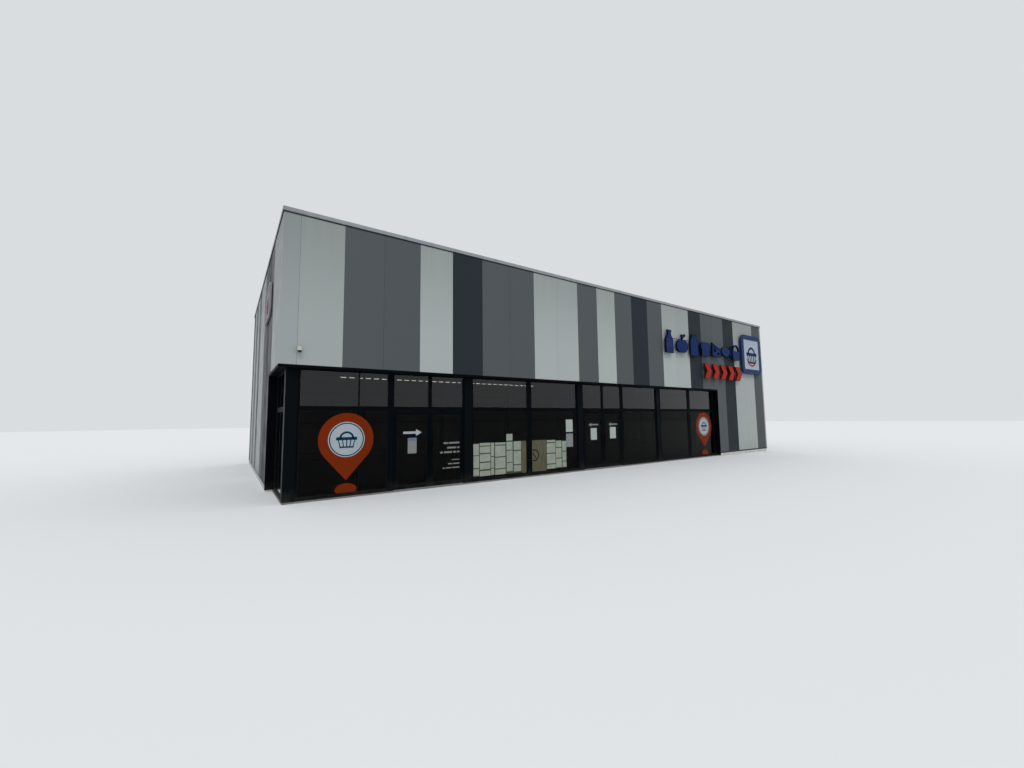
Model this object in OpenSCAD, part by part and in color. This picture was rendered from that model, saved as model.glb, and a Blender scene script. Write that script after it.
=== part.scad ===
/* [Cladding] */
// Cover width of one vertical cladding panel
panel_w = 1000; // [900:50:1100]
// Thickness of the cladding panels
panel_t = 100; // [80:10:120]
// Front leg of the folded corner panel
corner_leg = 367; // [350:10:500]
// Open joint between two panels at their faces
joint_gap = 4; // [3:1:8]
// Length of a panel's tongue
tongue_l = 20; // [16:1:26]
// Thickness of a panel's tongue
tongue_t = 30; // [20:2:40]
// Chamfer of a tongue's edges
tongue_chamfer = 4; // [2:1:6]
// Play of the tongue in its groove, all round
tongue_play = 1.5; // [1:0.5:3]
// Top of the cladding, inside the coping
wall_top = 6880; // [6700:10:7200]
// Leg of the flashings on the outer corners
flashing_leg = 110; // [80:5:150]
// Sheet thickness of the flashings
flashing_t = 3; // [1:0.5:4]
// Panels along each side wall
side_count = 12; // [10:1:13]

/* [Base] */
// Top of the concrete plinth
plinth_h = 200; // [150:10:300]
// Set-back of the plinth behind the cladding face
plinth_back = 15; // [10:5:40]
// Joint between two lengths that meet at a corner
corner_joint = 4; // [2:1:8]
// Drop of the drip edge at the foot of the cladding
drip_drop = 25; // [15:5:40]
// Sheet thickness of the drip edge
drip_sheet = 3; // [1:0.5:4]
// Height of the floor above the ground line
floor_t = 40; // [30:5:80]

/* [Steel frame] */
// Depth of the horizontal wall rails
rail_d = 105; // [90:5:140]
// Height of the wall rails
rail_h = 80; // [60:5:120]
// Sheet thickness of the wall rails
rail_sheet = 4; // [3:0.5:6]
// Height of the lips of the wall rails
rail_lip = 22; // [15:1:30]
// Gap at the ends of the wall rails
rail_gap = 10; // [5:1:20]
// Height of the lowest wall rail above the plinth
low_rail_up = 60; // [40:10:200]
// Height of the wall rail at the middle of the ground storey
mid_rail_z = 1750; // [1500:10:2000]
// Height of the wall rail over the shopfront above the opening
head_rail_up = 80; // [60:5:150]
// Width and depth of the columns
col_w = 200; // [160:10:240]
// Flange thickness of the columns
col_flange = 15; // [10:1:20]
// Web thickness of the columns
col_web = 9; // [6:1:14]
// First bay of the column grid, with the entrance
first_bay = 4660; // [4500:20:4800]
// Last bay of the column grid, with the closed wall; the three between share the rest
last_bay = 4357; // [4200:1:4500]
// Depth of the rafters
rafter_h = 360; // [300:10:450]
// Width of the rafters
rafter_w = 170; // [140:10:190]
// Flange thickness of the rafters
rafter_flange = 13; // [10:1:20]
// Web thickness of the rafters
rafter_web = 8; // [6:1:12]
// Thickness of the rafters' end plates
end_plate_t = 15; // [10:1:25]
// Size of the square eaves beams
eaves_beam_w = 120; // [100:10:140]
// Drop of the eaves beams below the roof deck
eaves_beam_drop = 60; // [20:5:100]
// Gap between the columns' tops and the roof deck
column_gap = 2; // [1:0.5:5]
// Width of the post beside the return window
trimmer_w = 100; // [80:10:140]
// Width of the parapet posts
parapet_post_w = 80; // [60:5:120]
// Depth of the parapet posts
parapet_post_d = 60; // [50:5:80]
// Lap of the parapet posts down the front columns
parapet_lap = 670; // [500:10:750]

/* [Roof] */
// Rise of the cladding above the roof covering at the front
parapet_rise = 580; // [480:10:680]
// Fall of the roof from front to back, in percent
roof_fall = 3; // [2:0.5:4]
// Thickness of the roof covering
membrane_t = 6; // [4:1:10]
// Thickness of the roof insulation
insulation_t = 120; // [80:10:160]
// Height of the profiled roof deck
deck_h = 60; // [40:5:80]
// Sheet thickness of the roof deck
deck_sheet = 3; // [2:0.5:5]
// Spacing of the deck's ribs
deck_pitch = 250; // [200:10:320]
// Width of the deck's lower flats
deck_flat_w = 90; // [60:5:120]
// Width of the slopes of the deck's ribs
deck_slope_w = 35; // [20:1:50]
// Sheet thickness of the parapet lining
liner_t = 4; // [3:1:6]

/* [Coping] */
// Height of the coping's face
coping_h = 95; // [80:5:140]
// Reach of the coping beyond the cladding
coping_over = 20; // [10:5:40]
// Sheet thickness of the coping
coping_sheet = 4; // [3:1:6]
// Fall of the coping's top towards the roof
coping_fall = 12; // [5:1:15]
// Lap of the coping's faces over the cladding
coping_lap = 70; // [50:5:75]
// Greatest length of one coping sheet
coping_l = 3000; // [2000:100:4000]
// Width of the straps over the coping's joints
strap_w = 120; // [80:10:200]
// Sheet thickness of the straps and corner caps
strap_t = 1.5; // [1:0.5:3]
// Leg of the caps on the coping's corners
cap_leg = 180; // [120:10:300]

/* [Shopfront] */
// Underside of the cladding over the shopfront
opening_top = 3170; // [3000:10:3300]
// Bays of the column grid that the shopfront fills
shop_bays = 4; // [3:1:4]
// Length of the shopfront's return on the left wall
side_opening = 2500; // [2300:50:2800]
// Set-back of the window frames behind the cladding
recess = 200; // [180:5:205]
// Depth of the window frames
frame_d = 65; // [55:5:80]
// Width of a frame beside a cased column
edge_frame_w = 50; // [40:5:80]
// Width of a single post between two fields
single_post_w = 125; // [80:5:150]
// Width of a twin post between two fields
twin_post_w = 180; // [140:10:220]
// Width of the post beside the exit
exit_post_w = 115; // [90:5:200]
// Width of the jamb that ends the shopfront
end_jamb_w = 160; // [120:10:200]
// Width of a slim mullion behind the joint of two panes
slim_w = 60; // [50:5:80]
// Left edge of the first window's slim mullion
slim_x = 1805; // [1700:5:2000]
// Distance of the return's slim mullion from the corner
side_slim_x = 1480; // [1300:10:1600]
// Width of the mullion between the lights over a door
door_mullion_w = 100; // [60:5:120]
// Height of the windows' bottom rail
sill_h = 80; // [60:5:120]
// Underside of the transoms and of the door heads
transom_z = 2130; // [2080:10:2200]
// Height of the transoms
transom_h = 110; // [80:5:140]
// Height of the head rail that shows
head_show = 20; // [10:5:40]
// Height of the head rail
head_h = 80; // [70:5:100]
// Thickness of the glazing
glass_t = 24; // [20:2:32]
// Depth to which the glazing sits in its frames
glass_bite = 12; // [8:1:15]
// Play of the glazing in the frames' grooves
glass_play = 0.5; // [0.3:0.1:1]
// Width of the square casing round a column
casing_w = 260; // [240:5:290]
// Sheet thickness of the casings
casing_sheet = 4; // [3:1:6]
// Sheet thickness of the trim round the opening
trim_sheet = 4; // [3:1:6]
// Height of the dark trim under the cladding
trim_drop = 50; // [40:5:70]
// Lap of the trim over the cladding
trim_lap = 20; // [10:5:40]
// Play between the jamb trim and the trim over it
trim_play = 0.5; // [0.3:0.1:2]

/* [Doors] */
// Width of the door jambs
jamb_w = 40; // [30:5:50]
// Gap round each door leaf
leaf_gap = 10; // [10:1:14]
// Thickness of a door leaf
leaf_t = 55; // [45:5:60]
// Width of a leaf's stiles
stile_w = 80; // [60:5:100]
// Height of a leaf's top rail
top_rail_h = 80; // [60:5:120]
// Height of a leaf's bottom rail
bottom_rail_h = 90; // [70:5:150]
// Height of the threshold plates
threshold_h = 10; // [6:1:15]
// Radius of the hinge knuckles
knuckle_r = 11.5; // [10:0.5:13]
// Height of one hinge knuckle
knuckle_h = 60; // [40:5:90]
// Radius of the hinge pins
pin_r = 6; // [5:0.5:7]
// Radial play of a hinge pin in its knuckle
pin_play = 0.1; // [0.05:0.01:0.2]
// Gap between the knuckles and the door frame
knuckle_clear = 0.5; // [0.3:0.1:1]
// Gap between two knuckles of a hinge
knuckle_gap = 0.3; // [0.2:0.1:0.5]
// Distance of the outer hinges from the leaf's ends
hinge_inset = 150; // [100:10:250]
// Width of a hinge's plate
hinge_plate_w = 34; // [25:1:40]
// Thickness of a hinge's plate
hinge_plate_t = 4; // [3:0.5:6]
// Hinges on each leaf
hinge_count = 3; // [2:1:4]
// Length of a pull handle
handle_l = 320; // [240:10:500]
// Radius of a pull handle
handle_r = 11; // [8:1:15]
// Distance of a pull handle from its leaf
handle_out = 45; // [35:5:70]
// Height of the middle of the pull handles
handle_z = 1100; // [1000:10:1200]
// Distance of a handle's feet from its ends
handle_foot = 40; // [30:5:80]
// Radius of a handle's feet
handle_foot_r = 9; // [6:0.5:10]

/* [Signs] */
// Distance of the signs from the cladding
sign_gap = 90; // [60:5:140]
// Depth of the sign bodies
sign_d = 80; // [60:5:120]
// Radius of the signs' spacers
spacer_r = 12; // [8:1:20]
// Gap between the rows of signs and the badge
row_gap = 120; // [60:10:400]
// Number of signs in the upper row
upper_count = 7; // [1:1:7]
// Foot of the upper row of signs
upper_z = 4650; // [4500:10:4800]
// Height of the signs in the upper row
upper_h = 1000; // [800:10:1050]
// Spacing of the signs in the upper row
upper_pitch = 940; // [900:10:1000]
// Foot of the lower row of chevrons
lower_z = 3680; // [3500:10:3750]
// Height of the chevrons
chevron_h = 700; // [500:10:760]
// Spacing of the chevrons
chevron_pitch = 710; // [680:10:760]
// Width of a chevron's arms
chevron_w = 400; // [300:10:440]
// Reach of a chevron's tip
chevron_tip = 240; // [150:10:280]
// Number of chevrons
chevron_count = 5; // [3:1:5]
// Width and height of the square badge
badge_w = 2050; // [1500:10:2100]
// Corner radius of the badges
badge_r = 300; // [100:10:400]
// Height of the middle of the badge
badge_z = 5130; // [4900:10:5300]
// Distance of the badge from the right corner
badge_edge = 450; // [100:10:600]
// Width of the badge on the left wall
side_badge_w = 1900; // [1400:10:2200]
// Height of that badge
side_badge_h = 1000; // [900:10:1400]
// Distance of that badge from the front corner
side_badge_x = 2350; // [2200:50:5000]
// Foot of that badge
side_badge_z = 4820; // [4300:10:5200]
// Distance of that badge from the cladding
side_badge_gap = 20; // [10:5:60]
// Depth of that badge
side_badge_d = 40; // [30:5:80]

/* [Fittings] */
// Radius of the security camera's body
camera_r = 55; // [40:1:70]
// Distance of the camera from the left corner
camera_x = 410; // [380:10:600]
// Height of the camera's bracket
camera_z = 3580; // [3400:10:3800]
// Width of the camera's wall plate
camera_plate_w = 80; // [60:5:110]
// Thickness of the camera's wall plate
camera_plate_t = 12; // [6:1:20]
// Reach of the camera's arm
camera_arm_l = 90; // [80:5:150]
// Height of the camera's body
camera_h = 90; // [60:5:120]
// Height of the row of lights
light_z = 3500; // [3300:10:3800]
// Width and height of the light rail
light_w = 60; // [50:5:90]
// Left end of the light rail
light_x = 2400; // [1500:100:4000]
// Number of lamps on the light rail
light_count = 30; // [10:1:36]
// Spacing of the lamps
light_pitch = 300; // [250:10:400]
// Length of one lamp
lamp_l = 220; // [150:10:240]
// Height of one lamp
lamp_h = 20; // [10:2:40]
// Rib of the roof deck that carries the lights
light_rib = 20; // [10:1:30]
// Radius of the rods that hold the light rail
rod_r = 5; // [4:0.5:8]
// Seat of the rods on the light rail
rod_seat = 0.3; // [0.1:0.1:0.5]

/* [Hidden] */
// Stripe colours from left to right, seen from outside: light, mid, dark
FRONT_STRIPES = "LMMLDMMLLMLMDMLLDMMDLLM";
BACK_STRIPES = "LMMLDMMLLMLMDMLLDMMDLLM";
LEFT_STRIPES = "DLMLMLLMDML";
RIGHT_STRIPES = "LMDMLLMLMLDL";
LIGHT = "#a9abab";
MID = "#6f7376";
DARK = "#3a4047";
FRAME = "#23282c";
STEEL = "#9aa0a4";
CONCRETE = "#b3b0a9";
GLASS = [0.30, 0.36, 0.38, 0.45];
BLUE = "#1f4fa3";
ORANGE = "#d8502a";

width = corner_leg + len(FRONT_STRIPES) * panel_w;
depth = side_count * panel_w;
col_line = panel_t + rail_d;
col_in = col_line + col_w / 2;
casing_in = col_in - casing_w / 2;
bay_w = (width - 2 * col_in - first_bay - last_bay) / 3;
opening_end = grid(shop_bays) - casing_w / 2;
side_post_step = (depth - 2 * col_in) / 3;
side_posts = [for (i = [1, 2]) col_in + i * side_post_step];
parapet_rail_z = wall_top - rail_h;
head_rail_z = opening_top + head_rail_up;
rail_levels = [plinth_h + low_rail_up, mid_rail_z, head_rail_z,
    (opening_top + parapet_rail_z) / 2 - rail_h, parapet_rail_z];
roof_top = wall_top - parapet_rise;
fall = roof_fall / 100;
deck_top_t = membrane_t + insulation_t;
glass_y = recess + (frame_d - glass_t) / 2;
leaf_z0 = floor_t + threshold_h + leaf_gap;
leaf_z1 = transom_z - leaf_gap;
leaf_glass_y = (leaf_t - glass_t) / 2;
pivot_y = recess - knuckle_r - knuckle_clear;
EPS = 0.01;

// Column centres along the front, from the left corner
function grid(k) = k == 0 ? col_in : k == 5 ? width - col_in : col_in + first_bay + (k - 1) * bay_w;
// Underside of the roof deck at a distance from the front
function deck_z(y) = roof_top - deck_top_t - deck_sheet - deck_h - (y - col_line) * fall;
// Top of the roof covering at a distance from the front
function cover_z(y) = deck_z(y) + deck_sheet + deck_h + deck_top_t;
// Middle, post width and edges of a bay's two shopfront fields
function bay_mid(k) = (grid(k) + grid(k + 1)) / 2;
function mid_post_w(k) = k == 0 ? single_post_w : k == 2 ? exit_post_w : twin_post_w;
function bay_left(k) = grid(k) + casing_w / 2;
function bay_right(k) = grid(k + 1) - casing_w / 2;
function left_field(k) = [bay_left(k), bay_mid(k) - mid_post_w(k) / 2];
function right_field(k) = [bay_mid(k) + mid_post_w(k) / 2, bay_right(k)];
function leaf_width(field) = (field[1] - field[0] - 2 * jamb_w - 3 * leaf_gap) / 2;
function middle(field) = (field[0] + field[1]) / 2;

entry = right_field(0);
exit = left_field(2);

// Each wall is drawn from its own left end, seen from outside: x along it, y into the building
module on_front() { translate([-width / 2, -depth / 2, 0]) children(); }
module on_back() { translate([width / 2, depth / 2, 0]) rotate([0, 0, 180]) children(); }
module on_left() { translate([-width / 2, depth / 2, 0]) rotate([0, 0, -90]) children(); }
module on_right() { translate([width / 2, -depth / 2, 0]) rotate([0, 0, 90]) children(); }

// A block between two corners
module block(a, b) { translate(a) cube(b - a); }

// A bar along x of a section drawn in y and z
module bar_x(x0, x1) {
    translate([x0, 0, 0]) rotate([90, 0, 90]) linear_extrude(x1 - x0) children();
}

// Floor and plinth

module floor_slab() {
    color(CONCRETE) on_front()
        block([casing_in, casing_in, 0], [width - casing_in, depth - casing_in, floor_t]);
}

module plinth_strip(x0, x1) {
    block([x0, plinth_back, 0], [x1, casing_in, plinth_h]);
}

module plinth() {
    side_start = casing_in + corner_joint;
    color(CONCRETE) {
        on_front() plinth_strip(opening_end, width - plinth_back);
        on_back() plinth_strip(plinth_back, width - plinth_back);
        on_left() plinth_strip(side_start, depth - side_opening);
        on_right() plinth_strip(side_start, depth - side_start);
    }
}

// Steel frame

module column_section() {
    for (y = [0, col_w - col_flange]) translate([-col_w / 2, y]) square([col_w, col_flange]);
    translate([-col_web / 2, col_flange - EPS]) square([col_web, col_w - 2 * col_flange + 2 * EPS]);
}

module column(top) {
    translate([0, 0, floor_t]) linear_extrude(top - floor_t) column_section();
}

module columns() {
    front_top = deck_z(col_line + col_w) - column_gap;
    back_top = deck_z(depth - col_line) - column_gap;
    color(STEEL) on_front() {
        for (k = [0 : 5]) {
            translate([grid(k), col_line, 0]) column(front_top);
            translate([grid(k), depth - col_line - col_w, 0]) column(back_top);
        }
        for (y = side_posts, x = [col_line + col_w, width - col_line])
            translate([x, y, 0]) rotate([0, 0, 90])
                column(deck_z(y + col_w / 2) - rafter_h - column_gap);
        block([col_line, side_opening, floor_t],
            [col_line + trimmer_w, side_opening + trimmer_w, head_rail_z]);
    }
}

module sloped_strip(y0, y1, low, high) {
    polygon([[y0, deck_z(y0) + low], [y1, deck_z(y1) + low],
        [y1, deck_z(y1) + high], [y0, deck_z(y0) + high]]);
}

module rafter(x) {
    y0 = col_line + col_w;
    y1 = depth - y0;
    bar_x(x - rafter_w / 2, x + rafter_w / 2) {
        sloped_strip(y0, y1, -rafter_flange, 0);
        sloped_strip(y0, y1, -rafter_h, rafter_flange - rafter_h);
        sloped_strip(y0, y0 + end_plate_t, -rafter_h, 0);
        sloped_strip(y1 - end_plate_t, y1, -rafter_h, 0);
    }
    bar_x(x - rafter_web / 2, x + rafter_web / 2) sloped_strip(y0, y1, -rafter_h, 0);
}

module eaves_beam(k, y, top) {
    block([grid(k) + col_web / 2, y - eaves_beam_w / 2, top - eaves_beam_w],
        [grid(k + 1) - col_web / 2, y + eaves_beam_w / 2, top]);
}

module roof_beams() {
    color(STEEL) on_front() {
        for (k = [0 : 5]) rafter(grid(k));
        for (k = [0 : 4]) {
            eaves_beam(k, col_in, deck_z(col_line + col_w) - eaves_beam_drop);
            eaves_beam(k, depth - col_in, deck_z(depth - col_line) - eaves_beam_drop);
        }
    }
}

module rail(x0, x1, z) {
    bar_x(x0, x1) translate([panel_t, z]) polygon([
        [0, 0], [rail_d, 0], [rail_d, rail_h], [rail_d - rail_lip, rail_h],
        [rail_d - rail_lip, rail_h - rail_sheet], [rail_d - rail_sheet, rail_h - rail_sheet],
        [rail_d - rail_sheet, rail_sheet], [rail_sheet, rail_sheet],
        [rail_sheet, rail_h - rail_sheet], [rail_lip, rail_h - rail_sheet], [rail_lip, rail_h], [0, rail_h]]);
}

module wall_rails() {
    front_start = grid(shop_bays) - col_w / 2;
    side_start = col_line + rail_gap;
    color(STEEL) for (z = rail_levels) {
        over = z > opening_top;
        on_front() rail(over ? panel_t : front_start, width - panel_t, z);
        on_back() rail(panel_t, width - panel_t, z);
        on_left() rail(side_start, over ? depth - side_start : depth - side_opening - rail_gap, z);
        on_right() rail(side_start, depth - side_start, z);
    }
}

module parapet_post(x) {
    foot = deck_z(col_line + col_w) - parapet_lap;
    block([x - parapet_post_w / 2, col_line - parapet_post_d, foot],
        [x + parapet_post_w / 2, col_line, parapet_rail_z]);
}

module parapet_posts() {
    color(STEEL) {
        for (k = [0 : 5]) {
            on_front() parapet_post(grid(k));
            on_back() parapet_post(width - grid(k));
        }
        for (y = side_posts) {
            on_left() parapet_post(y);
            on_right() parapet_post(y);
        }
    }
}

// Cladding with tongue and groove along its upright edges

tongue_y = (panel_t - tongue_t) / 2;
groove_d = tongue_l - joint_gap + tongue_play;

function tongue_points(x) = [
    [x, tongue_y], [x + tongue_l, tongue_y + tongue_chamfer],
    [x + tongue_l, panel_t - tongue_y - tongue_chamfer], [x, panel_t - tongue_y]];
function groove_points(x) = [
    [x, panel_t - tongue_y + tongue_play],
    [x + groove_d, panel_t - tongue_y - tongue_chamfer + tongue_play],
    [x + groove_d, tongue_y + tongue_chamfer - tongue_play],
    [x, tongue_y - tongue_play]];

module panel_plan(x0, x1, groove, tongue) {
    half = joint_gap / 2;
    left = x0 + (groove ? half : 0);
    right = x1 - (tongue ? half : 0);
    polygon(concat(
        [[left, 0], [right, 0]],
        tongue ? tongue_points(right) : [],
        [[right, panel_t], [left, panel_t]],
        groove ? groove_points(left) : []));
}

// The panels of one colour in a wall that runs from lo to hi, with an opening from a to b
module stripes(names, colour, start, lo, hi, a, b, joined_left, joined_right) {
    last = len(names) - 1;
    for (i = [0 : last]) if (names[i] == colour) {
        x0 = max(lo, start + i * panel_w);
        x1 = min(hi, start + (i + 1) * panel_w);
        groove = i > 0 || joined_left;
        tongue = i < last || joined_right;
        clear = x1 <= a || x0 >= b;
        inside = x0 >= a && x1 <= b;
        bottom = inside ? opening_top : plinth_h;
        difference() {
            translate([0, 0, bottom]) linear_extrude(wall_top - bottom)
                panel_plan(x0, x1, groove, tongue);
            if (!clear && !inside)
                block([a, -1, plinth_h - 1], [b, panel_t + 1, opening_top]);
        }
    }
}

module front_wall(colour) {
    on_front() stripes(FRONT_STRIPES, colour, corner_leg, corner_leg, width,
        0, opening_end, true, false);
}

module left_wall(colour) {
    on_left() stripes(LEFT_STRIPES, colour, 0, panel_t + joint_gap, depth - panel_w,
        depth - side_opening, depth, false, true);
}

module right_wall(colour) {
    on_right() stripes(RIGHT_STRIPES, colour, 0, panel_t + joint_gap, depth - panel_t - joint_gap,
        0, 0, false, false);
}

module back_wall(colour) {
    on_back() {
        stripes(BACK_STRIPES, colour, 0, 0, width, 0, 0, false, true);
        if (colour == "L") translate([0, 0, plinth_h]) linear_extrude(wall_top - plinth_h)
            panel_plan(width - corner_leg, width, true, false);
    }
}

module corner_panel() {
    half = joint_gap / 2;
    end = corner_leg - half;
    side = panel_w - half;
    color(LIGHT) on_front() translate([0, 0, opening_top]) linear_extrude(wall_top - opening_top)
        polygon(concat(
            [[0, 0], [end, 0]], tongue_points(end),
            [[end, panel_t], [panel_t, panel_t], [panel_t, side]],
            [for (p = groove_points(-side)) [p[1], -p[0]]],
            [[0, side]]));
}

module corner_flashing() {
    leg = flashing_leg;
    t = flashing_t;
    translate([0, 0, plinth_h]) linear_extrude(wall_top - plinth_h)
        polygon([[-t, -t], [leg, -t], [leg, 0], [0, 0], [0, leg], [-t, leg]]);
}

module corner_flashings() {
    color(LIGHT) {
        on_right() corner_flashing();
        on_back() corner_flashing();
        on_left() corner_flashing();
    }
}

// The folded drip edge under the cladding's foot
module base_drip(x0, x1) {
    s = drip_sheet;
    bar_x(x0, x1) translate([0, plinth_h]) polygon([
        [-s, 0], [plinth_back, 0], [plinth_back, -s], [0, -s], [0, -drip_drop], [-s, -drip_drop]]);
}

module base_drips() {
    start = plinth_back + corner_joint;
    past_trim = trim_lap + trim_play;
    color(MID) {
        on_front() base_drip(opening_end + past_trim, width + drip_sheet);
        on_back() base_drip(-drip_sheet, width + drip_sheet);
        on_left() base_drip(start, depth - side_opening - past_trim);
        on_right() base_drip(start, depth - start);
    }
}

// Roof

module deck_profile() {
    y0 = col_line;
    y1 = depth - col_line;
    ribs = floor((y1 - y0 - deck_flat_w) / deck_pitch);
    lower = concat(
        [for (i = [0 : ribs - 1], p = [[0, 0], [deck_flat_w, 0],
            [deck_flat_w + deck_slope_w, deck_h], [deck_pitch - deck_slope_w, deck_h]])
            [y0 + i * deck_pitch + p[0], p[1]]],
        [[y0 + ribs * deck_pitch, 0], [y1, 0]]);
    upper = [for (i = [len(lower) - 1 : -1 : 0]) lower[i] + [0, deck_sheet]];
    polygon([for (p = concat(lower, upper)) [p[0], p[1] + deck_z(p[0])]]);
}

module roof_deck() {
    color(STEEL) on_front() bar_x(col_line, width - col_line) deck_profile();
}

module roof_covering() {
    base = deck_sheet + deck_h;
    color("#8a8d8f") on_front() bar_x(col_line, width - col_line)
        sloped_strip(col_line, depth - col_line, base, base + deck_top_t);
}

// The parapet's lining: one sheet along each wall, standing on the roof covering
module parapet_liner() {
    y0 = col_line;
    y1 = depth - col_line;
    side0 = y0 + liner_t + corner_joint;
    side1 = y1 - liner_t - corner_joint;
    color("#a3a6a7") on_front() {
        block([col_line, y0, cover_z(y0)], [width - col_line, y0 + liner_t, wall_top]);
        block([col_line, y1 - liner_t, cover_z(y1 - liner_t)], [width - col_line, y1, wall_top]);
        for (x = [col_line, width - col_line - liner_t]) bar_x(x, x + liner_t)
            polygon([[side0, cover_z(side0)], [side1, cover_z(side1)],
                [side1, wall_top], [side0, wall_top]]);
    }
}

coping_in = col_line + liner_t + coping_over;
coping_low = wall_top - coping_lap;
coping_high = coping_low + coping_h;

// A folded coping on its backing board along one wall, mitred at both ends
module coping_run(length) {
    s = coping_sheet;
    board_end = coping_in - coping_over;
    inner = coping_in;
    low = coping_low;
    high = coping_high;
    reach = coping_over + 1;
    difference() {
        bar_x(-reach, length + reach) polygon([
            [-coping_over, low], [s - coping_over, low], [s - coping_over, high - s],
            [0, high - s], [0, wall_top], [board_end, wall_top],
            [board_end, high - s - coping_fall], [inner - s, high - s - coping_fall],
            [inner - s, low - coping_fall], [inner, low - coping_fall],
            [inner, high - coping_fall], [-coping_over, high]]);
        for (m = [0, 1]) translate([m * length, 0, 0]) mirror([m, 0, 0])
            rotate([0, 0, 45]) translate([-2 * inner, -corner_joint / 2, low - coping_h])
                cube([8 * inner, 4 * inner, 3 * coping_h]);
    }
}

module coping() {
    color(LIGHT) {
        on_front() coping_run(width);
        on_back() coping_run(width);
        on_left() coping_run(depth);
        on_right() coping_run(depth);
    }
}

// The sheet that lies over a coping's joints: a strap, or one leg of a corner cap
module strap(x0, x1) {
    t = strap_t;
    bar_x(x0, x1) polygon([
        [-coping_over, coping_low], [-coping_over, coping_high],
        [coping_in, coping_high - coping_fall], [coping_in, coping_low - coping_fall],
        [coping_in + t, coping_low - coping_fall], [coping_in + t, coping_high - coping_fall + t],
        [-coping_over - t, coping_high + t], [-coping_over - t, coping_low]]);
}

module cap_half() {
    reach = coping_over + strap_t;
    difference() {
        strap(-reach, coping_in + cap_leg);
        rotate([0, 0, 45]) translate([-2 * coping_in, EPS, coping_low - coping_h])
            cube([8 * coping_in, 4 * coping_in, 3 * coping_h]);
    }
}

module caps_along(length) {
    sheets = ceil(length / coping_l);
    cap_half();
    mirror([1, -1, 0]) cap_half();
    for (i = [1 : sheets - 1])
        strap(i * length / sheets - strap_w / 2, i * length / sheets + strap_w / 2);
}

module coping_caps() {
    color(LIGHT) {
        on_front() caps_along(width);
        on_back() caps_along(width);
        on_left() caps_along(depth);
        on_right() caps_along(depth);
    }
}

// Shopfront

module post_casing(x, y) {
    top = opening_top - trim_drop;
    in = casing_sheet;
    difference() {
        block([x, y, floor_t], [x + casing_w, y + casing_w, top]);
        block([x + in, y + in, floor_t - 1], [x + casing_w - in, y + casing_w - in, top + 1]);
    }
}

module post_casings() {
    color(FRAME) on_front()
        for (k = [0 : shop_bays - 1]) post_casing(grid(k) - casing_w / 2, casing_in);
}

module frame_post(x0, x1, z0, z1) {
    block([x0, recess, z0], [x1, recess + frame_d, z1]);
}

module frame_rail(x0, x1, z0, z1) {
    block([x0, recess, z0], [x1, recess + frame_d, z1]);
}

frame_top = opening_top + head_h - trim_drop - head_show;
head_z = opening_top - trim_drop - head_show;
sill_top = floor_t + sill_h;
transom_top = transom_z + transom_h;

module window_rails(x0, x1) {
    frame_rail(x0, x1, floor_t, sill_top);
    frame_rail(x0, x1, transom_z, transom_top);
    frame_rail(x0, x1, head_z, frame_top);
}

// The windows on the front, clear between their posts
corner_window = [bay_left(0) + edge_frame_w, left_field(0)[1]];
plain_windows = concat(
    [[bay_left(1) + edge_frame_w, left_field(1)[1]],
        [right_field(1)[0], bay_right(1) - edge_frame_w],
        [right_field(2)[0], bay_right(2) - edge_frame_w]],
    shop_bays > 3 ? [[bay_left(3) + edge_frame_w, left_field(3)[1]],
        [right_field(3)[0], opening_end - end_jamb_w]] : []);
// The return's window, measured from the front corner
return_window = [casing_in + casing_w + edge_frame_w, side_opening - end_jamb_w];

// A slim mullion stands behind the joint between two panes
function panes_beside(x, window) = [[window[0], x], [x + slim_w, window[1]]];
front_fields = concat(panes_beside(slim_x, corner_window), plain_windows);
return_fields = panes_beside(side_slim_x, return_window);

// The fixed lights over the doors
door_lights = [for (door = [entry, exit], side = [0, 1]) side == 0
    ? [door[0] + jamb_w, middle(door) - door_mullion_w / 2]
    : [middle(door) + door_mullion_w / 2, door[1] - jamb_w]];

module on_return() {
    translate([-width / 2, -depth / 2, 0]) mirror([1, -1, 0]) children();
}

// One row of panes; with play it is the space that their grooves take
module panes(fields, z0, z1, play) {
    grow = glass_bite + play;
    for (f = fields) block([f[0] - grow, glass_y - play, z0 - grow],
        [f[1] + grow, glass_y + glass_t + play, z1 + grow]);
}

module front_panes(play) {
    panes(front_fields, sill_top, transom_z, play);
    panes(concat(front_fields, door_lights), transom_top, head_z, play);
}

module return_panes(play) {
    panes(return_fields, sill_top, transom_z, play);
    panes(return_fields, transom_top, head_z, play);
}

// A slim mullion's nose fills the joint, flush with the panes' outer faces
module slim_mullion(x) {
    for (z = [[sill_top, transom_z], [transom_top, head_z]])
        block([x, glass_y, z[0]], [x + slim_w, recess + frame_d, z[1]]);
}

module front_posts() {
    for (k = [0 : shop_bays - 1])
        frame_post(left_field(k)[1], right_field(k)[0], floor_t, frame_top);
    for (k = [0, 1, 3]) if (k < shop_bays)
        frame_post(bay_left(k), bay_left(k) + edge_frame_w, floor_t, frame_top);
    for (k = [1, 2]) frame_post(bay_right(k) - edge_frame_w, bay_right(k), floor_t, frame_top);
    slim_mullion(slim_x);
    frame_post(opening_end - end_jamb_w, grid(shop_bays) - col_w / 2, floor_t, frame_top);
    for (door = [entry, exit]) {
        for (x = [door[0], door[1] - jamb_w]) frame_post(x, x + jamb_w, floor_t, frame_top);
        frame_post(middle(door) - door_mullion_w / 2, middle(door) + door_mullion_w / 2,
            transom_top, head_z);
    }
}

module return_posts() {
    frame_post(casing_in + casing_w, return_window[0], floor_t, frame_top);
    slim_mullion(side_slim_x);
    frame_post(return_window[1], side_opening, floor_t, frame_top);
}

module front_rails() {
    for (w = concat([corner_window], plain_windows)) window_rails(w[0], w[1]);
    for (door = [entry, exit], z = [[transom_z, transom_top], [head_z, frame_top]])
        frame_rail(door[0] + jamb_w, door[1] - jamb_w, z[0], z[1]);
}

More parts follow.
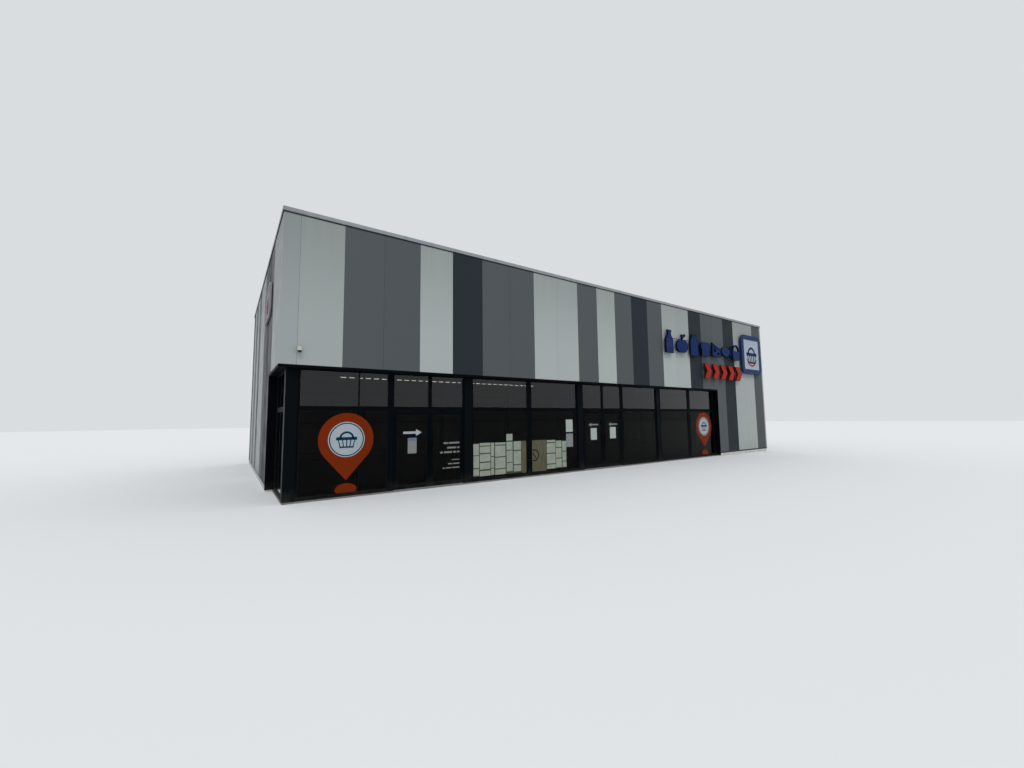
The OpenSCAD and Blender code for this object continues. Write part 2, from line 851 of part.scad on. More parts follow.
module shopfront_posts() {
    color(FRAME) {
        on_front() difference() {
            front_posts();
            front_panes(glass_play);
        }
        on_return() difference() {
            return_posts();
            return_panes(glass_play);
        }
    }
}

module shopfront_rails() {
    color(FRAME) {
        on_front() difference() {
            front_rails();
            front_panes(glass_play);
        }
        on_return() difference() {
            window_rails(return_window[0], return_window[1]);
            return_panes(glass_play);
        }
    }
}

module shopfront_glass() {
    color(GLASS) {
        on_front() front_panes(0);
        on_return() return_panes(0);
    }
}

// The trim under the cladding: a face that laps it and a soffit back to the windows, mitred
module soffit_trim(length) {
    low = opening_top - trim_drop;
    s = trim_sheet;
    difference() {
        union() {
            block([-s, -s, low], [length + trim_lap, 0, opening_top + trim_lap]);
            block([-s, -s, low], [length, recess, low + s]);
        }
        rotate([0, 0, 45]) block([-recess, -corner_joint / 2, 0], [2 * recess, recess, wall_top]);
    }
}

// A jamb trim folded round the cut edge of the cladding
module jamb_trim(x) {
    s = trim_sheet;
    top = opening_top - trim_drop - trim_play;
    translate([x, 0, floor_t]) linear_extrude(top - floor_t) polygon([
        [-s, -s], [trim_lap, -s], [trim_lap, 0], [0, 0], [0, recess], [-s, recess]]);
}

module opening_trim() {
    color(FRAME) {
        on_front() {
            soffit_trim(opening_end);
            jamb_trim(opening_end);
        }
        on_return() {
            soffit_trim(side_opening);
            jamb_trim(side_opening);
        }
    }
}

// Doors: pairs of hinged leaves that open outwards

module thresholds() {
    color(STEEL) on_front() for (door = [entry, exit])
        block([door[0] + jamb_w, recess, floor_t],
            [door[1] - jamb_w, recess + frame_d, floor_t + threshold_h]);
}

hinge_low = leaf_z0 + hinge_inset;
hinge_step = (leaf_z1 - leaf_z0 - 2 * hinge_inset - 2 * knuckle_h) / (hinge_count - 1);

// The fixed half of one hinge: plate, lower knuckle and pin; side is 1 or -1
module hinge_fixed(side) {
    cylinder(r = knuckle_r, h = knuckle_h, $fn = 48);
    cylinder(r = pin_r, h = 2 * knuckle_h, $fn = 48);
    translate([side > 0 ? -hinge_plate_w : 0, recess - pivot_y - hinge_plate_t, 0])
        cube([hinge_plate_w, hinge_plate_t, knuckle_h]);
}

// The leaf's half of one hinge, bored for the pin
module hinge_moving(side) {
    h = knuckle_h - knuckle_gap;
    translate([0, 0, knuckle_h + knuckle_gap]) difference() {
        union() {
            cylinder(r = knuckle_r, h = h, $fn = 48);
            translate([side > 0 ? 0 : -hinge_plate_w, recess - pivot_y - hinge_plate_t, 0])
                cube([hinge_plate_w, hinge_plate_t + EPS, h]);
        }
        translate([0, 0, -1]) cylinder(r = pin_r + pin_play, h = h + 2, $fn = 48);
    }
}

// Pivot line of a leaf on one side of a door
function pivot_x(door, side) = side > 0 ? door[0] + jamb_w + leaf_gap / 2
    : door[1] - jamb_w - leaf_gap / 2;

module at_hinges(door, side) {
    for (i = [0 : hinge_count - 1])
        translate([pivot_x(door, side), pivot_y, hinge_low + i * hinge_step]) children();
}

module hinges() {
    color(FRAME) on_front() for (door = [entry, exit], side = [1, -1])
        at_hinges(door, side) hinge_fixed(side);
}

// A leaf is drawn from its hinged edge, and mirrored for the right-hand side
module at_leaf(door, side) {
    on_front() translate([pivot_x(door, side), recess, 0])
        mirror([side > 0 ? 0 : 1, 0, 0]) translate([leaf_gap / 2, 0, 0]) children();
}

module pull_handle(w) {
    x = w - stile_w / 2;
    translate([x, -handle_out, handle_z - handle_l / 2]) cylinder(r = handle_r, h = handle_l, $fn = 32);
    for (z = [-1, 1]) translate([x, 0, handle_z + z * (handle_l / 2 - handle_foot)])
        rotate([90, 0, 0]) cylinder(r = handle_foot_r, h = handle_out, $fn = 32);
}

module leaf(door, side) {
    w = leaf_width(door);
    color(FRAME) {
        at_leaf(door, side) {
            difference() {
                block([0, 0, leaf_z0], [w, leaf_t, leaf_z1]);
                block([stile_w, -1, leaf_z0 + bottom_rail_h],
                    [w - stile_w, leaf_t + 1, leaf_z1 - top_rail_h]);
            }
            pull_handle(w);
        }
        on_front() at_hinges(door, side) hinge_moving(side);
    }
}

module leaf_glass(door, side) {
    w = leaf_width(door);
    color(GLASS) at_leaf(door, side)
        block([stile_w, leaf_glass_y, leaf_z0 + bottom_rail_h],
            [w - stile_w, leaf_glass_y + glass_t, leaf_z1 - top_rail_h]);
}

// Signs: plain goods pictograms, chevrons and badges, with no lettering

module sign_body(gap = sign_gap, d = sign_d) {
    translate([0, -gap, 0]) rotate([90, 0, 0]) linear_extrude(d) children();
}

// Each pictogram is drawn one high, standing on its foot
module bottle() {
    translate([-0.26, 0]) square([0.52, 0.58]);
    polygon([[-0.26, 0.58], [0.26, 0.58], [0.11, 0.8], [-0.11, 0.8]]);
    translate([-0.11, 0.78]) square([0.22, 0.18]);
    translate([-0.14, 0.92]) square([0.28, 0.08]);
}

module apple() {
    for (x = [-0.145, 0.145]) translate([x, 0.37]) circle(r = 0.28, $fn = 48);
    translate([-0.145, 0.09]) square([0.29, 0.33]);
    translate([-0.028, 0.55]) square([0.056, 0.34]);
    translate([0.13, 0.82]) rotate(35) square([0.27, 0.1], center = true);
}

module carton() {
    translate([-0.3, 0]) square([0.6, 0.66]);
    polygon([[-0.3, 0.66], [0.3, 0.66], [0.17, 0.88], [-0.17, 0.88]]);
    translate([-0.17, 0.86]) square([0.34, 0.14]);
}

module loaf() {
    translate([-0.32, 0.07]) square([0.64, 0.46]);
    for (x = [-0.21, 0.21]) translate([x, 0.53]) circle(r = 0.19, $fn = 40);
    translate([-0.21, 0.53]) square([0.42, 0.19]);
}

module cheese() {
    difference() {
        polygon([[-0.37, 0.11], [0.37, 0.11], [0.37, 0.47], [-0.37, 0.78]]);
        translate([-0.13, 0.42]) circle(r = 0.083, $fn = 32);
        translate([0.155, 0.27]) circle(r = 0.067, $fn = 32);
    }
}

module fish() {
    intersection() {
        translate([-0.07, 0.2]) circle(r = 0.47, $fn = 64);
        translate([-0.07, 0.66]) circle(r = 0.47, $fn = 64);
    }
    polygon([[0.16, 0.43], [0.43, 0.7], [0.43, 0.16]]);
}

module basket() {
    polygon([[-0.38, 0.53], [0.38, 0.53], [0.3, 0.07], [-0.3, 0.07]]);
    difference() {
        translate([0, 0.53]) circle(r = 0.333, $fn = 64);
        translate([0, 0.53]) circle(r = 0.255, $fn = 64);
        translate([-0.45, 0]) square([0.9, 0.52]);
    }
}

module pictogram(i) {
    scale(upper_h) {
        if (i == 0) bottle();
        if (i == 1) apple();
        if (i == 2) carton();
        if (i == 3) loaf();
        if (i == 4) cheese();
        if (i == 5) fish();
        if (i == 6) basket();
    }
}

badge_x = width - badge_edge - badge_w;

function upper_at(i) = [badge_x - row_gap - (upper_count - i - 0.5) * upper_pitch, 0, upper_z];

module upper_sign() {
    color(BLUE) on_front() for (i = [0 : upper_count - 1])
        translate(upper_at(i)) sign_body() pictogram(i);
}

function chevron_x(i) = badge_x - row_gap - chevron_w - chevron_tip
    - (chevron_count - 1 - i) * chevron_pitch;

module lower_sign() {
    w = chevron_w;
    tip = chevron_tip;
    color(ORANGE) on_front() for (i = [0 : chevron_count - 1])
        translate([chevron_x(i), 0, lower_z]) sign_body() polygon([
            [0, 0], [w, 0], [w + tip, chevron_h / 2], [w, chevron_h],
            [0, chevron_h], [tip, chevron_h / 2]]);
}

module badge_face(w, h) {
    r = badge_r;
    translate([r, 0]) square([w - 2 * r, h]);
    translate([0, r]) square([w, h - 2 * r]);
    for (x = [r, w - r], y = [r, h - r]) translate([x, y]) circle(r = r, $fn = 64);
}

module badges() {
    color(BLUE) on_front()
        translate([badge_x, 0, badge_z - badge_w / 2])
            sign_body() badge_face(badge_w, badge_w);
    color(ORANGE) on_left()
        translate([depth - side_badge_x - side_badge_w, 0, side_badge_z])
            sign_body(side_badge_gap, side_badge_d) badge_face(side_badge_w, side_badge_h);
}

module spacer(x, z, gap = sign_gap) {
    translate([x, 0, z]) rotate([90, 0, 0]) cylinder(r = spacer_r, h = gap, $fn = 24);
}

module sign_spacers() {
    inset = 0.2;
    color(STEEL) {
        on_front() {
            for (i = [0 : upper_count - 1], z = [0.25, 0.45])
                spacer(upper_at(i)[0], upper_z + z * upper_h);
            for (i = [0 : chevron_count - 1], z = [0.35, 0.65])
                spacer(chevron_x(i) + 0.7 * chevron_tip + chevron_w / 2, lower_z + z * chevron_h);
            for (x = [inset, 1 - inset], z = [inset, 1 - inset])
                spacer(width - badge_edge - x * badge_w, badge_z + (z - 0.5) * badge_w);
        }
        on_left() for (x = [inset, 1 - inset], z = [inset, 1 - inset])
            spacer(depth - side_badge_x - x * side_badge_w, side_badge_z + z * side_badge_h,
                side_badge_gap);
    }
}

// Fittings

module security_camera() {
    w = camera_plate_w / 2;
    arm_w = camera_plate_w / 4;
    lens_r = 0.85 * camera_r;
    color("white") on_front() translate([camera_x, 0, camera_z]) {
        block([-w, -camera_plate_t, -w], [w, 0, w]);
        block([-arm_w, -camera_arm_l, -arm_w], [arm_w, EPS - camera_plate_t, arm_w]);
        translate([0, -camera_arm_l, arm_w - camera_h]) {
            cylinder(r = camera_r, h = camera_h, $fn = 48);
            sphere(r = lens_r, $fn = 48);
        }
    }
}

light_y = col_line + light_rib * deck_pitch + deck_flat_w / 2;
light_l = light_count * light_pitch;

module light_rail() {
    rod_z = light_z + light_w + rod_seat;
    color("#d8dadb") on_front() {
        block([light_x, light_y - light_w / 2, light_z],
            [light_x + light_l, light_y + light_w / 2, light_z + light_w]);
        for (t = [0.08, 0.5, 0.92]) translate([light_x + t * light_l, light_y, rod_z])
            cylinder(r = rod_r, h = deck_z(light_y + rod_r) - rod_z, $fn = 24);
        for (i = [0 : light_count - 1])
            translate([light_x + (i + 0.5) * light_pitch - lamp_l / 2, light_y - light_w / 2,
                light_z - lamp_h]) cube([lamp_l, light_w, lamp_h + EPS]);
    }
}

floor_slab();
plinth();
columns();
roof_beams();
wall_rails();
parapet_posts();
color(LIGHT) front_wall("L");  // front_wall_light
color(MID) front_wall("M");  // front_wall_mid
color(DARK) front_wall("D");  // front_wall_dark
color(LIGHT) left_wall("L");  // left_wall_light
color(MID) left_wall("M");  // left_wall_mid
color(DARK) left_wall("D");  // left_wall_dark
color(LIGHT) back_wall("L");  // back_wall_light
color(MID) back_wall("M");  // back_wall_mid
color(DARK) back_wall("D");  // back_wall_dark
color(LIGHT) right_wall("L");  // right_wall_light
color(MID) right_wall("M");  // right_wall_mid
color(DARK) right_wall("D");  // right_wall_dark
corner_panel();
corner_flashings();
base_drips();
coping();
coping_caps();
parapet_liner();
roof_deck();
roof_covering();
post_casings();
shopfront_posts();
shopfront_rails();
shopfront_glass();
opening_trim();
thresholds();
hinges();
leaf(entry, 1);  // entry_left_leaf
leaf_glass(entry, 1);  // entry_left_glass
leaf(entry, -1);  // entry_right_leaf
leaf_glass(entry, -1);  // entry_right_glass
leaf(exit, 1);  // exit_left_leaf
leaf_glass(exit, 1);  // exit_left_glass
leaf(exit, -1);  // exit_right_leaf
leaf_glass(exit, -1);  // exit_right_glass
upper_sign();
lower_sign();
badges();
sign_spacers();
security_camera();
light_rail();
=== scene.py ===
# %% [markdown]
# This lesson dresses a small supermarket: a low hall behind a striped metal front, with a dark
# glazed corner. The solids come packed from CAD and stay as they are. Blender adds finishes,
# seals, sheets on the glass, sign faces and light, so the first cell loads that fixed frame.

# %% Load the fixed frame
import math

import bmesh
import bpy
from bmesh.types import BMEdge, BMFace, BMVert
from mathutils import Matrix, Vector


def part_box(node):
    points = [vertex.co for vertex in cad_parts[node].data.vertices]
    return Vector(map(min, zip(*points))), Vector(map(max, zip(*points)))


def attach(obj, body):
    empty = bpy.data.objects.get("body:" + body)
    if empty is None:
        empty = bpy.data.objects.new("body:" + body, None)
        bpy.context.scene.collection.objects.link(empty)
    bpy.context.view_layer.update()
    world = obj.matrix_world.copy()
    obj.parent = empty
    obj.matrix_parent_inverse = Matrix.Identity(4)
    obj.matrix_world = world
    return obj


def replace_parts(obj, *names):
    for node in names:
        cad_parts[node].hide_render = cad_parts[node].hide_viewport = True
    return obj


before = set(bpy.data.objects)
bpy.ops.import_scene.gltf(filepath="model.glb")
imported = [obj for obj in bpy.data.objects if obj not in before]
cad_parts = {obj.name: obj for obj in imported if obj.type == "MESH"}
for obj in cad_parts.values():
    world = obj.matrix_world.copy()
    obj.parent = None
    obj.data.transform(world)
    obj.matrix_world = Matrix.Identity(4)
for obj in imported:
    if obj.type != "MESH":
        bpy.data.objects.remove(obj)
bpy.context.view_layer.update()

scene = bpy.context.scene
print("nodes in the frame:", len(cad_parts))

# %% [markdown]
# Every wall is worked on as if one stood in front of it: u runs along the wall from its left end,
# d runs into the building and z runs up. One matrix for each wall carries such a piece home. The
# lengths are read from the solids, so the pieces follow when the building changes.

# %% Walls and their own directions
WALL_LOW, WALL_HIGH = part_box("corner_panel")
WALL_TOP = WALL_HIGH.z
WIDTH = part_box("right_wall_light")[1].x - WALL_LOW.x
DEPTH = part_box("back_wall_light")[1].y - WALL_LOW.y


def wall_matrix(x, y, turn):
    """Carries wall directions to the frame, from the wall's left end and its turn."""
    return Matrix.Translation((x, y, 0)) @ Matrix.Rotation(math.radians(turn), 4, "Z")


ON_FRONT = wall_matrix(-WIDTH / 2, -DEPTH / 2, 0)
ON_LEFT = wall_matrix(-WIDTH / 2, DEPTH / 2, -90)
ON_RETURN = Matrix(((0, 1, 0, -WIDTH / 2), (1, 0, 0, -DEPTH / 2), (0, 0, 1, 0), (0, 0, 0, 1)))
HERE = Matrix()  # for pieces whose numbers are the frame's own
AROUND = ((ON_FRONT, WIDTH), (wall_matrix(WIDTH / 2, -DEPTH / 2, 90), DEPTH),
          (wall_matrix(WIDTH / 2, DEPTH / 2, 180), WIDTH), (ON_LEFT, DEPTH))
DOORS = ("entry_left", "entry_right", "exit_left", "exit_right")
print(f"walls {WIDTH:.3f} by {DEPTH:.3f} m, {WALL_TOP:.3f} m high")

# %% [markdown]
# Seals, films and lamps sit on solids, so their places are measured and not typed. A node's mesh
# comes as loose triangles. A copy of it is merged, and each island of joined corners is one solid.

# %% Measure the solids of a node


def merged_copy(node):
    """A bmesh of a CAD node with its loose corners joined."""
    bm = bmesh.new()
    bm.from_mesh(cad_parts[node].data)
    bmesh.ops.remove_doubles(bm, verts=bm.verts, dist=1e-5)
    return bm


def corners(points):
    """The lowest and highest corner of some points."""
    return tuple(Vector([pick(axis) for axis in zip(*points)]) for pick in (min, max))


def solids_of(node, wall=ON_FRONT):
    """The two corners of every solid of a node, in a wall's directions, from left to right."""
    bm = merged_copy(node)
    home = wall.inverted()
    found, seen = [], set()
    for start in bm.verts:
        island, waiting = [], [start]
        while waiting:
            vert = waiting.pop()
            if vert not in seen:
                seen.add(vert)
                island.append(home @ vert.co)
                waiting += [edge.other_vert(vert) for edge in vert.link_edges]
        if island:
            found.append(corners(island))
    bm.free()
    return sorted(found, key=lambda box: (round(box[0].x, 3), round(box[0].z, 3)))


print("panes of glass:", len(solids_of("shopfront_glass")))

# %% [markdown]
# The building is seen from the left of its front, at eye height, with a wide lens. The camera
# was solved from the building's own straight edges, so its numbers are simply set here.

# %% Camera
EYE = (-12.5915, -16.521, 1.870)
HEADING, TILT, ROLL = -0.6092, 0.0862, -0.0116  # radians

lens = bpy.data.cameras.new("eye_height_view")
lens.sensor_width, lens.lens, lens.clip_end = 36.0, 14.352, 500.0
camera = bpy.data.objects.new("eye_height_view", lens)
camera.matrix_world = (Matrix.Translation(EYE) @ Matrix.Rotation(HEADING, 4, "Z")
                       @ Matrix.Rotation(math.pi / 2 + TILT, 4, "X")
                       @ Matrix.Rotation(ROLL, 4, "Z"))
scene.collection.objects.link(camera)
scene.camera = camera
scene.view_settings.view_transform = "Standard"
print("camera at", EYE)

# %% [markdown]
# Colours are noted as they look on a screen, from 0 to 255, and Blender mixes light in linear
# numbers. One small helper does that sum everywhere, and another makes a colour darker or paler.

# %% Screen colours to linear numbers


def rgb(red, green, blue):
    """A linear colour from the 0 to 255 numbers that a screen shows."""
    def linear(c):
        c /= 255
        return c / 12.92 if c <= 0.04045 else ((c + 0.055) / 1.055) ** 2.4
    return (linear(red), linear(green), linear(blue), 1.0)


def shade(colour, factor, more=0.0):
    """A linear colour times a factor, with a little white added if asked."""
    return tuple(factor * c + more for c in colour[:3]) + (1.0,)


print("middle grey", [round(c, 3) for c in rgb(128, 128, 128)])

# %% [markdown]
# Materials are drawn with nodes. A few helpers keep that readable: one feeds a socket, one places
# a node, and the others name the nodes that come again and again. A new node joins the node tree
# of its links, so a tree is only named where a node has no link into it.

# %% Place and feed nodes


def feed(socket, value):
    """Links a socket to another one, or sets its number or colour."""
    if isinstance(value, bpy.types.NodeSocket):
        socket.id_data.links.new(value, socket)
    else:
        socket.default_value = value


def put(kind, inputs, tree=None, **settings):
    """Places a shader node where its inputs come from, and returns its outputs."""
    linked = [value for value in inputs.values() if isinstance(value, bpy.types.NodeSocket)]
    node = (tree or linked[0].id_data).nodes.new("ShaderNode" + kind)
    for name, value in settings.items():
        setattr(node, name, value)
    for name, value in inputs.items():
        feed(node.inputs[name], value)
    return node.outputs


def sums(operation, *values):
    """The result of one Math node."""
    return put("Math", dict(enumerate(values)), operation=operation)[0]


def rest(value):
    """What is left to 1."""
    return sums("SUBTRACT", 1.0, value)


def axes(vector):
    """The three parts X, Y and Z of a vector."""
    return put("SeparateXYZ", {0: vector})


def share(value, low, high):
    """0 where a value is at low, 1 where it is at high, with a soft course between them."""
    return put("MapRange", {"Value": value, "From Min": low, "From Max": high},
               interpolation_type="SMOOTHSTEP")[0]


def tint(factor, first, second, amount=None):
    """A colour between two colours, with the factor cut down to an amount if asked."""
    if amount is not None:
        factor = sums("MULTIPLY", factor, amount)
    return put("Mix", {0: factor, 6: first, 7: second}, data_type="RGBA")[2]


def noise(place, scale, detail=3.0, stretch=None):
    """Noise from 0 to 1, stretched along the axes if asked."""
    if stretch:
        place = put("Mapping", {"Vector": place, "Scale": stretch})[0]
    return put("TexNoise", {"Vector": place, "Scale": scale, "Detail": detail})[0]


print("node helpers ready")

# %% [markdown]
# Dull daylight comes from all sides, with a little more from the left front. The world gives an
# even white for that, and shows rays from the camera, gloss and glass a pale grey backdrop. A
# broad sun adds the soft shadows under the coping and behind the signs.

# %% World and sun
DAYLIGHT = (0.90, 0.915, 0.93, 1.0)
BACKDROP = rgb(218, 221, 224)
SUN_FROM = Vector((-0.15, -0.58, 0.80))

world = bpy.data.worlds.new("dull_daylight")
world.use_nodes = True
ray = put("LightPath", {}, world.node_tree)
seen = sums("MAXIMUM", ray["Is Camera Ray"],
            sums("MAXIMUM", ray["Is Glossy Ray"], ray["Is Transmission Ray"]))
background = world.node_tree.nodes["Background"].inputs
feed(background["Color"], tint(seen, DAYLIGHT, BACKDROP))
scene.world = world

sun = bpy.data.lights.new("soft_sun", "SUN")
sun.energy, sun.angle = 1.0, math.radians(24)
sun_object = bpy.data.objects.new("soft_sun", sun)
sun_object.rotation_euler = SUN_FROM.to_track_quat("Z", "Y").to_euler()
scene.collection.objects.link(sun_object)
print("world and sun")

# %% [markdown]
# Most finishes share a few effects: the fine grain of a coating, streaks that rain draws down
# from an edge, and dust that splashes up at the foot. Each is a node group with named sockets,
# built once, so that a later finish only sets its own amounts. Streaks and dust are one thing
# twice: a mask that is full at an edge, fades over a reach and is broken up by noise.

# %% Start a node group


def start_group(name, inputs, outputs):
    """An empty shader group, with the sockets to read from and the sockets to fill."""
    group = bpy.data.node_groups.new(name, "ShaderNodeTree")
    for way, sockets in (("INPUT", inputs), ("OUTPUT", outputs)):
        for socket in sockets:
            kind = "NodeSocketVector" if socket in ("Place", "Facing") else "NodeSocketFloat"
            group.interface.new_socket(socket, in_out=way, socket_type=kind)
    return (group, group.nodes.new("NodeGroupInput").outputs,
            group.nodes.new("NodeGroupOutput").inputs)


# %% Group for the grain of a coating
COATING, given, result = start_group("coating_grain", ("Place", "Fineness"),
                                     ("Peel", "Mottle"))
feed(result["Peel"], noise(given["Place"], given["Fineness"], 2.0))
feed(result["Mottle"], share(noise(given["Place"], 1.7, 5.0), 0.3, 0.7))
print("group", COATING.name)

# %% Groups for rain streaks and for dust at the foot


def edge_mask(name, low, high, *texture):
    """A group whose mask starts at an edge and reaches up, or down if the reach is negative."""
    group, given, result = start_group(name, ("Place", "Edge", "Reach"), ("Mask",))
    away = sums("SUBTRACT", axes(given["Place"])["Z"], given["Edge"])
    near = rest(share(sums("DIVIDE", away, given["Reach"]), 0.0, 1.0))
    feed(result["Mask"], sums("MULTIPLY", near, share(noise(given["Place"], *texture), low, high)))
    print("group", name)
    return group


STREAKS = edge_mask("rain_streaks", 0.44, 0.72, 1.0, 4.0, (9.0, 9.0, 0.22))
FOOT_DUST = edge_mask("foot_dust", 0.25, 0.75, 6.0, 6.0)

# %% [markdown]
# A finish is one material with one Principled shader. The class below holds it together with the
# object's own coordinates, which the patterns are drawn on, and with the grain of its coating.
# Its last step feeds the colour, a range of roughness and a bump.

# %% One finish


class Finish:
    """A material with its shader and coordinates, and with its grain if that has a fineness."""

    def __init__(self, name, fineness=None, sheen=0.5, **constants):
        self.material = bpy.data.materials.new(name)
        self.material.use_nodes = True
        self.tree = self.material.node_tree
        self.shader = self.tree.nodes["Principled BSDF"].inputs
        coordinates = put("TexCoord", {}, self.tree)
        self.place, self.facing = coordinates["Object"], coordinates["Normal"]
        if fineness:
            grain = self.group(COATING, Fineness=fineness)
            self.peel, self.mottle = grain["Peel"], grain["Mottle"]
        for socket, value in {"Specular IOR Level": sheen, **constants}.items():
            self.shader[socket.replace("_", " ")].default_value = value

    def group(self, group, **inputs):
        """Places a node group on this finish's coordinates and returns its outputs."""
        return put("Group", {"Place": self.place, **inputs}, node_tree=group)

    def stain(self, paint, group, edge, reach, amount, colour):
        """Lays streaks or dust on a paint, from an edge's height over a reach."""
        mask = self.group(group, Edge=edge, Reach=reach)["Mask"]
        return tint(mask, paint, colour, amount)

    def done(self, paint, rough, depth=0.0, strength=1.0, patches=None, height=None):
        """Feeds colour, roughness and a bump, depth in metres, and gives the material."""
        feed(self.shader["Base Color"], paint)
        feed(self.shader["Roughness"], put("MapRange", {
            "Value": patches or self.mottle, "To Min": rough[0], "To Max": rough[1]})[0])
        if depth:
            feed(self.shader["Normal"], put("Bump", {
                "Height": height or self.peel, "Distance": depth, "Strength": strength})[0])
        return self.material


print("finish class ready")

# %% [markdown]
# The floor is a plain pale plane far larger than the view. Its grey is chosen so that, lit, it
# meets the backdrop without a line, and it still takes the building's shadow.

# %% Floor


def make_object(bm, name, *materials):
    """Turns a bmesh into an object of the scene with its materials."""
    mesh = bpy.data.meshes.new(name)
    bm.to_mesh(mesh)
    bm.free()
    for material in materials:
        mesh.materials.append(material)
    made = bpy.data.objects.new(name, mesh)
    scene.collection.objects.link(made)
    return made


pale = Finish("pale_floor", sheen=0.0, Base_Color=rgb(214, 216, 218), Roughness=1.0).material
HALF_FLOOR = 150.0
bm = bmesh.new()
bmesh.ops.create_grid(bm, x_segments=1, y_segments=1, size=HALF_FLOOR)
floor = make_object(bm, "pale_floor", pale)
print("floor", floor.dimensions.x, "m wide")

# %% [markdown]
# The cladding panels are steel sheet with a factory coat, one metre wide. Close up they are not
# quite even: each panel took its coat in another batch, the sheet has fine stiffening lines every
# tenth of a metre, rain marks them under the coping and their inner sheet is off-white. One group
# finds the panel and its lines on any wall, from the direction that the face looks.

# %% Group for the panels
SKIN = 0.09  # what lies deeper than this is the inner sheet
LINE_STEP = 0.05  # half the distance between two stiffening lines
SIDE_NUMBERS = 41.0  # panels of the side walls count on from here

PANELS, given, result = start_group("cladding_panels", ("Place", "Facing"),
                                    ("Batch", "Line", "Inside"))
where, looks = axes(given["Place"]), axes(given["Facing"])
sideways = sums("GREATER_THAN", sums("ABSOLUTE", looks["X"]), 0.5)
along_front = sums("ADD", where["X"], round(WIDTH) - WIDTH / 2)
along = put("Mix", {0: sideways, 2: along_front, 3: where["Y"]})[0]
number = sums("ADD", sums("FLOOR", along), sums("MULTIPLY", sideways, SIDE_NUMBERS))
feed(result["Batch"], put("TexWhiteNoise", {"W": number}, noise_dimensions="1D")[0])
from_line = sums("PINGPONG", sums("ADD", along, LINE_STEP), LINE_STEP)
feed(result["Line"], rest(share(from_line, 0.001, 0.006)))
deep = [sums("LESS_THAN", sums("ABSOLUTE", where[axis]), half - SKIN)
        for axis, half in (("X", WIDTH / 2), ("Y", DEPTH / 2))]
feed(result["Inside"], sums("MULTIPLY", *deep))
print("group", PANELS.name)

# %% [markdown]
# A stripe's paint is laid up like glazes: its own grey with the batch and the mottle a little
# darker, the stiffening lines darker as painted shade in their grooves, then rain streaks, painted
# shade towards the coping and a splashed foot. Both ends of the front and the side walls are
# painted darker than the long stretch between them, as shade.

# %% Finish of the cladding
LINER = rgb(196, 198, 194)
# Dirt of streaks and feet, also the colour of the painted shade towards the coping
GRIME_AND_SHADE = rgb(70, 72, 68)
DUST = rgb(150, 146, 136)
UNSHADED_MIDDLE, UNSHADED_HALF = -0.8165, 9.5  # past this stretch of the front the panels are painted darker, as shade


def cladding(name, colour, streak, sheen, shadow):
    """The coated sheet of one stripe, with painted shade towards the coping and at the ends,
    off-white inside.
    """
    finish = Finish(name, 180.0, sheen)
    panel = finish.group(PANELS, Facing=finish.facing)
    where = axes(finish.place)
    # Painted shade: the ends of the front and the side walls lie past the unshaded middle stretch
    off_middle = sums("ABSOLUTE", sums("SUBTRACT", where["X"], UNSHADED_MIDDLE))
    shaded_ends = sums("GREATER_THAN", off_middle, UNSHADED_HALF)
    coping_shade = share(where["Z"], WALL_TOP - 3.2, WALL_TOP + 0.6)
    paint = tint(panel["Batch"], colour, shade(colour, 0.955))
    # The stiffening lines are painted darker too, as shade in their grooves
    for mask, amount in ((shaded_ends, 0.9), (panel["Line"], 0.12), (finish.mottle, 0.12)):
        paint = tint(mask, paint, shade(colour, 0.86), amount)
    paint = finish.stain(paint, STREAKS, WALL_TOP - 0.05, -1.4, streak, GRIME_AND_SHADE)
    # Painted shade: the stripe grows darker towards the coping
    paint = tint(coping_shade, paint, GRIME_AND_SHADE, shadow)
    paint = finish.stain(paint, FOOT_DUST, 0.2, 0.55, 0.16, GRIME_AND_SHADE)
    relief = sums("SUBTRACT", sums("MULTIPLY", finish.peel, 0.12), panel["Line"])
    return finish.done(tint(panel["Inside"], paint, LINER), (0.34, 0.50), 0.0006, 0.6,
                       height=relief)


def dress(material, *nodes):
    """Gives CAD nodes one finish, and hands the finish back."""
    for node in nodes:
        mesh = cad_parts[node].data
        mesh.materials.clear()
        mesh.materials.append(material)
    print(f"{material.name} on {len(nodes)} nodes")
    return material


# The last number of each cladding below is the strength of its painted shade towards the coping.
dress(cladding("corner_sheet", rgb(156, 163, 164), 0.05, 0.06, 0.32), "corner_panel")
for name, grey, colour, streak, sheen, shadow in (
        ("light_grey_panel", "light", rgb(162, 168, 167), 0.07, 0.04, 0.30),
        ("mid_grey_panel", "mid", rgb(80, 85, 88), 0.05, 0.03, 0.0),
        ("anthracite_panel", "dark", rgb(41, 47, 52), 0.03, 0.03, 0.0)):
    dress(cladding(name, colour, streak, sheen, shadow),
          *[f"{wall}_wall_{grey}" for wall in ("front", "left", "back", "right")])

# %% [markdown]
# Flashings, coping and frames are folded or drawn metal with a plain coat. A coat differs from
# the next by its colour, its gloss and how much rain and dust it shows, so one function makes
# them all. The window frames are nearly black with a fine structure that takes the shine off.

# %% Coated metal


def coated(name, colour, gloss=(0.38, 0.52), mottle=0.12, top=6.9, reach=0.5, streak=0.25,
           foot=-9.0, rise=0.4, dust=0.0, fineness=240.0, sheen=0.35):
    """A powder coat with its grain, streaks from the height top and dust from foot."""
    finish = Finish(name, fineness, sheen)
    paint = tint(finish.mottle, colour, shade(colour, 0.72), mottle)
    paint = finish.stain(paint, STREAKS, top, -reach, streak, GRIME_AND_SHADE)
    paint = finish.stain(paint, FOOT_DUST, foot, rise, dust, DUST)
    return finish.done(paint, gloss, 0.0002, 0.5)


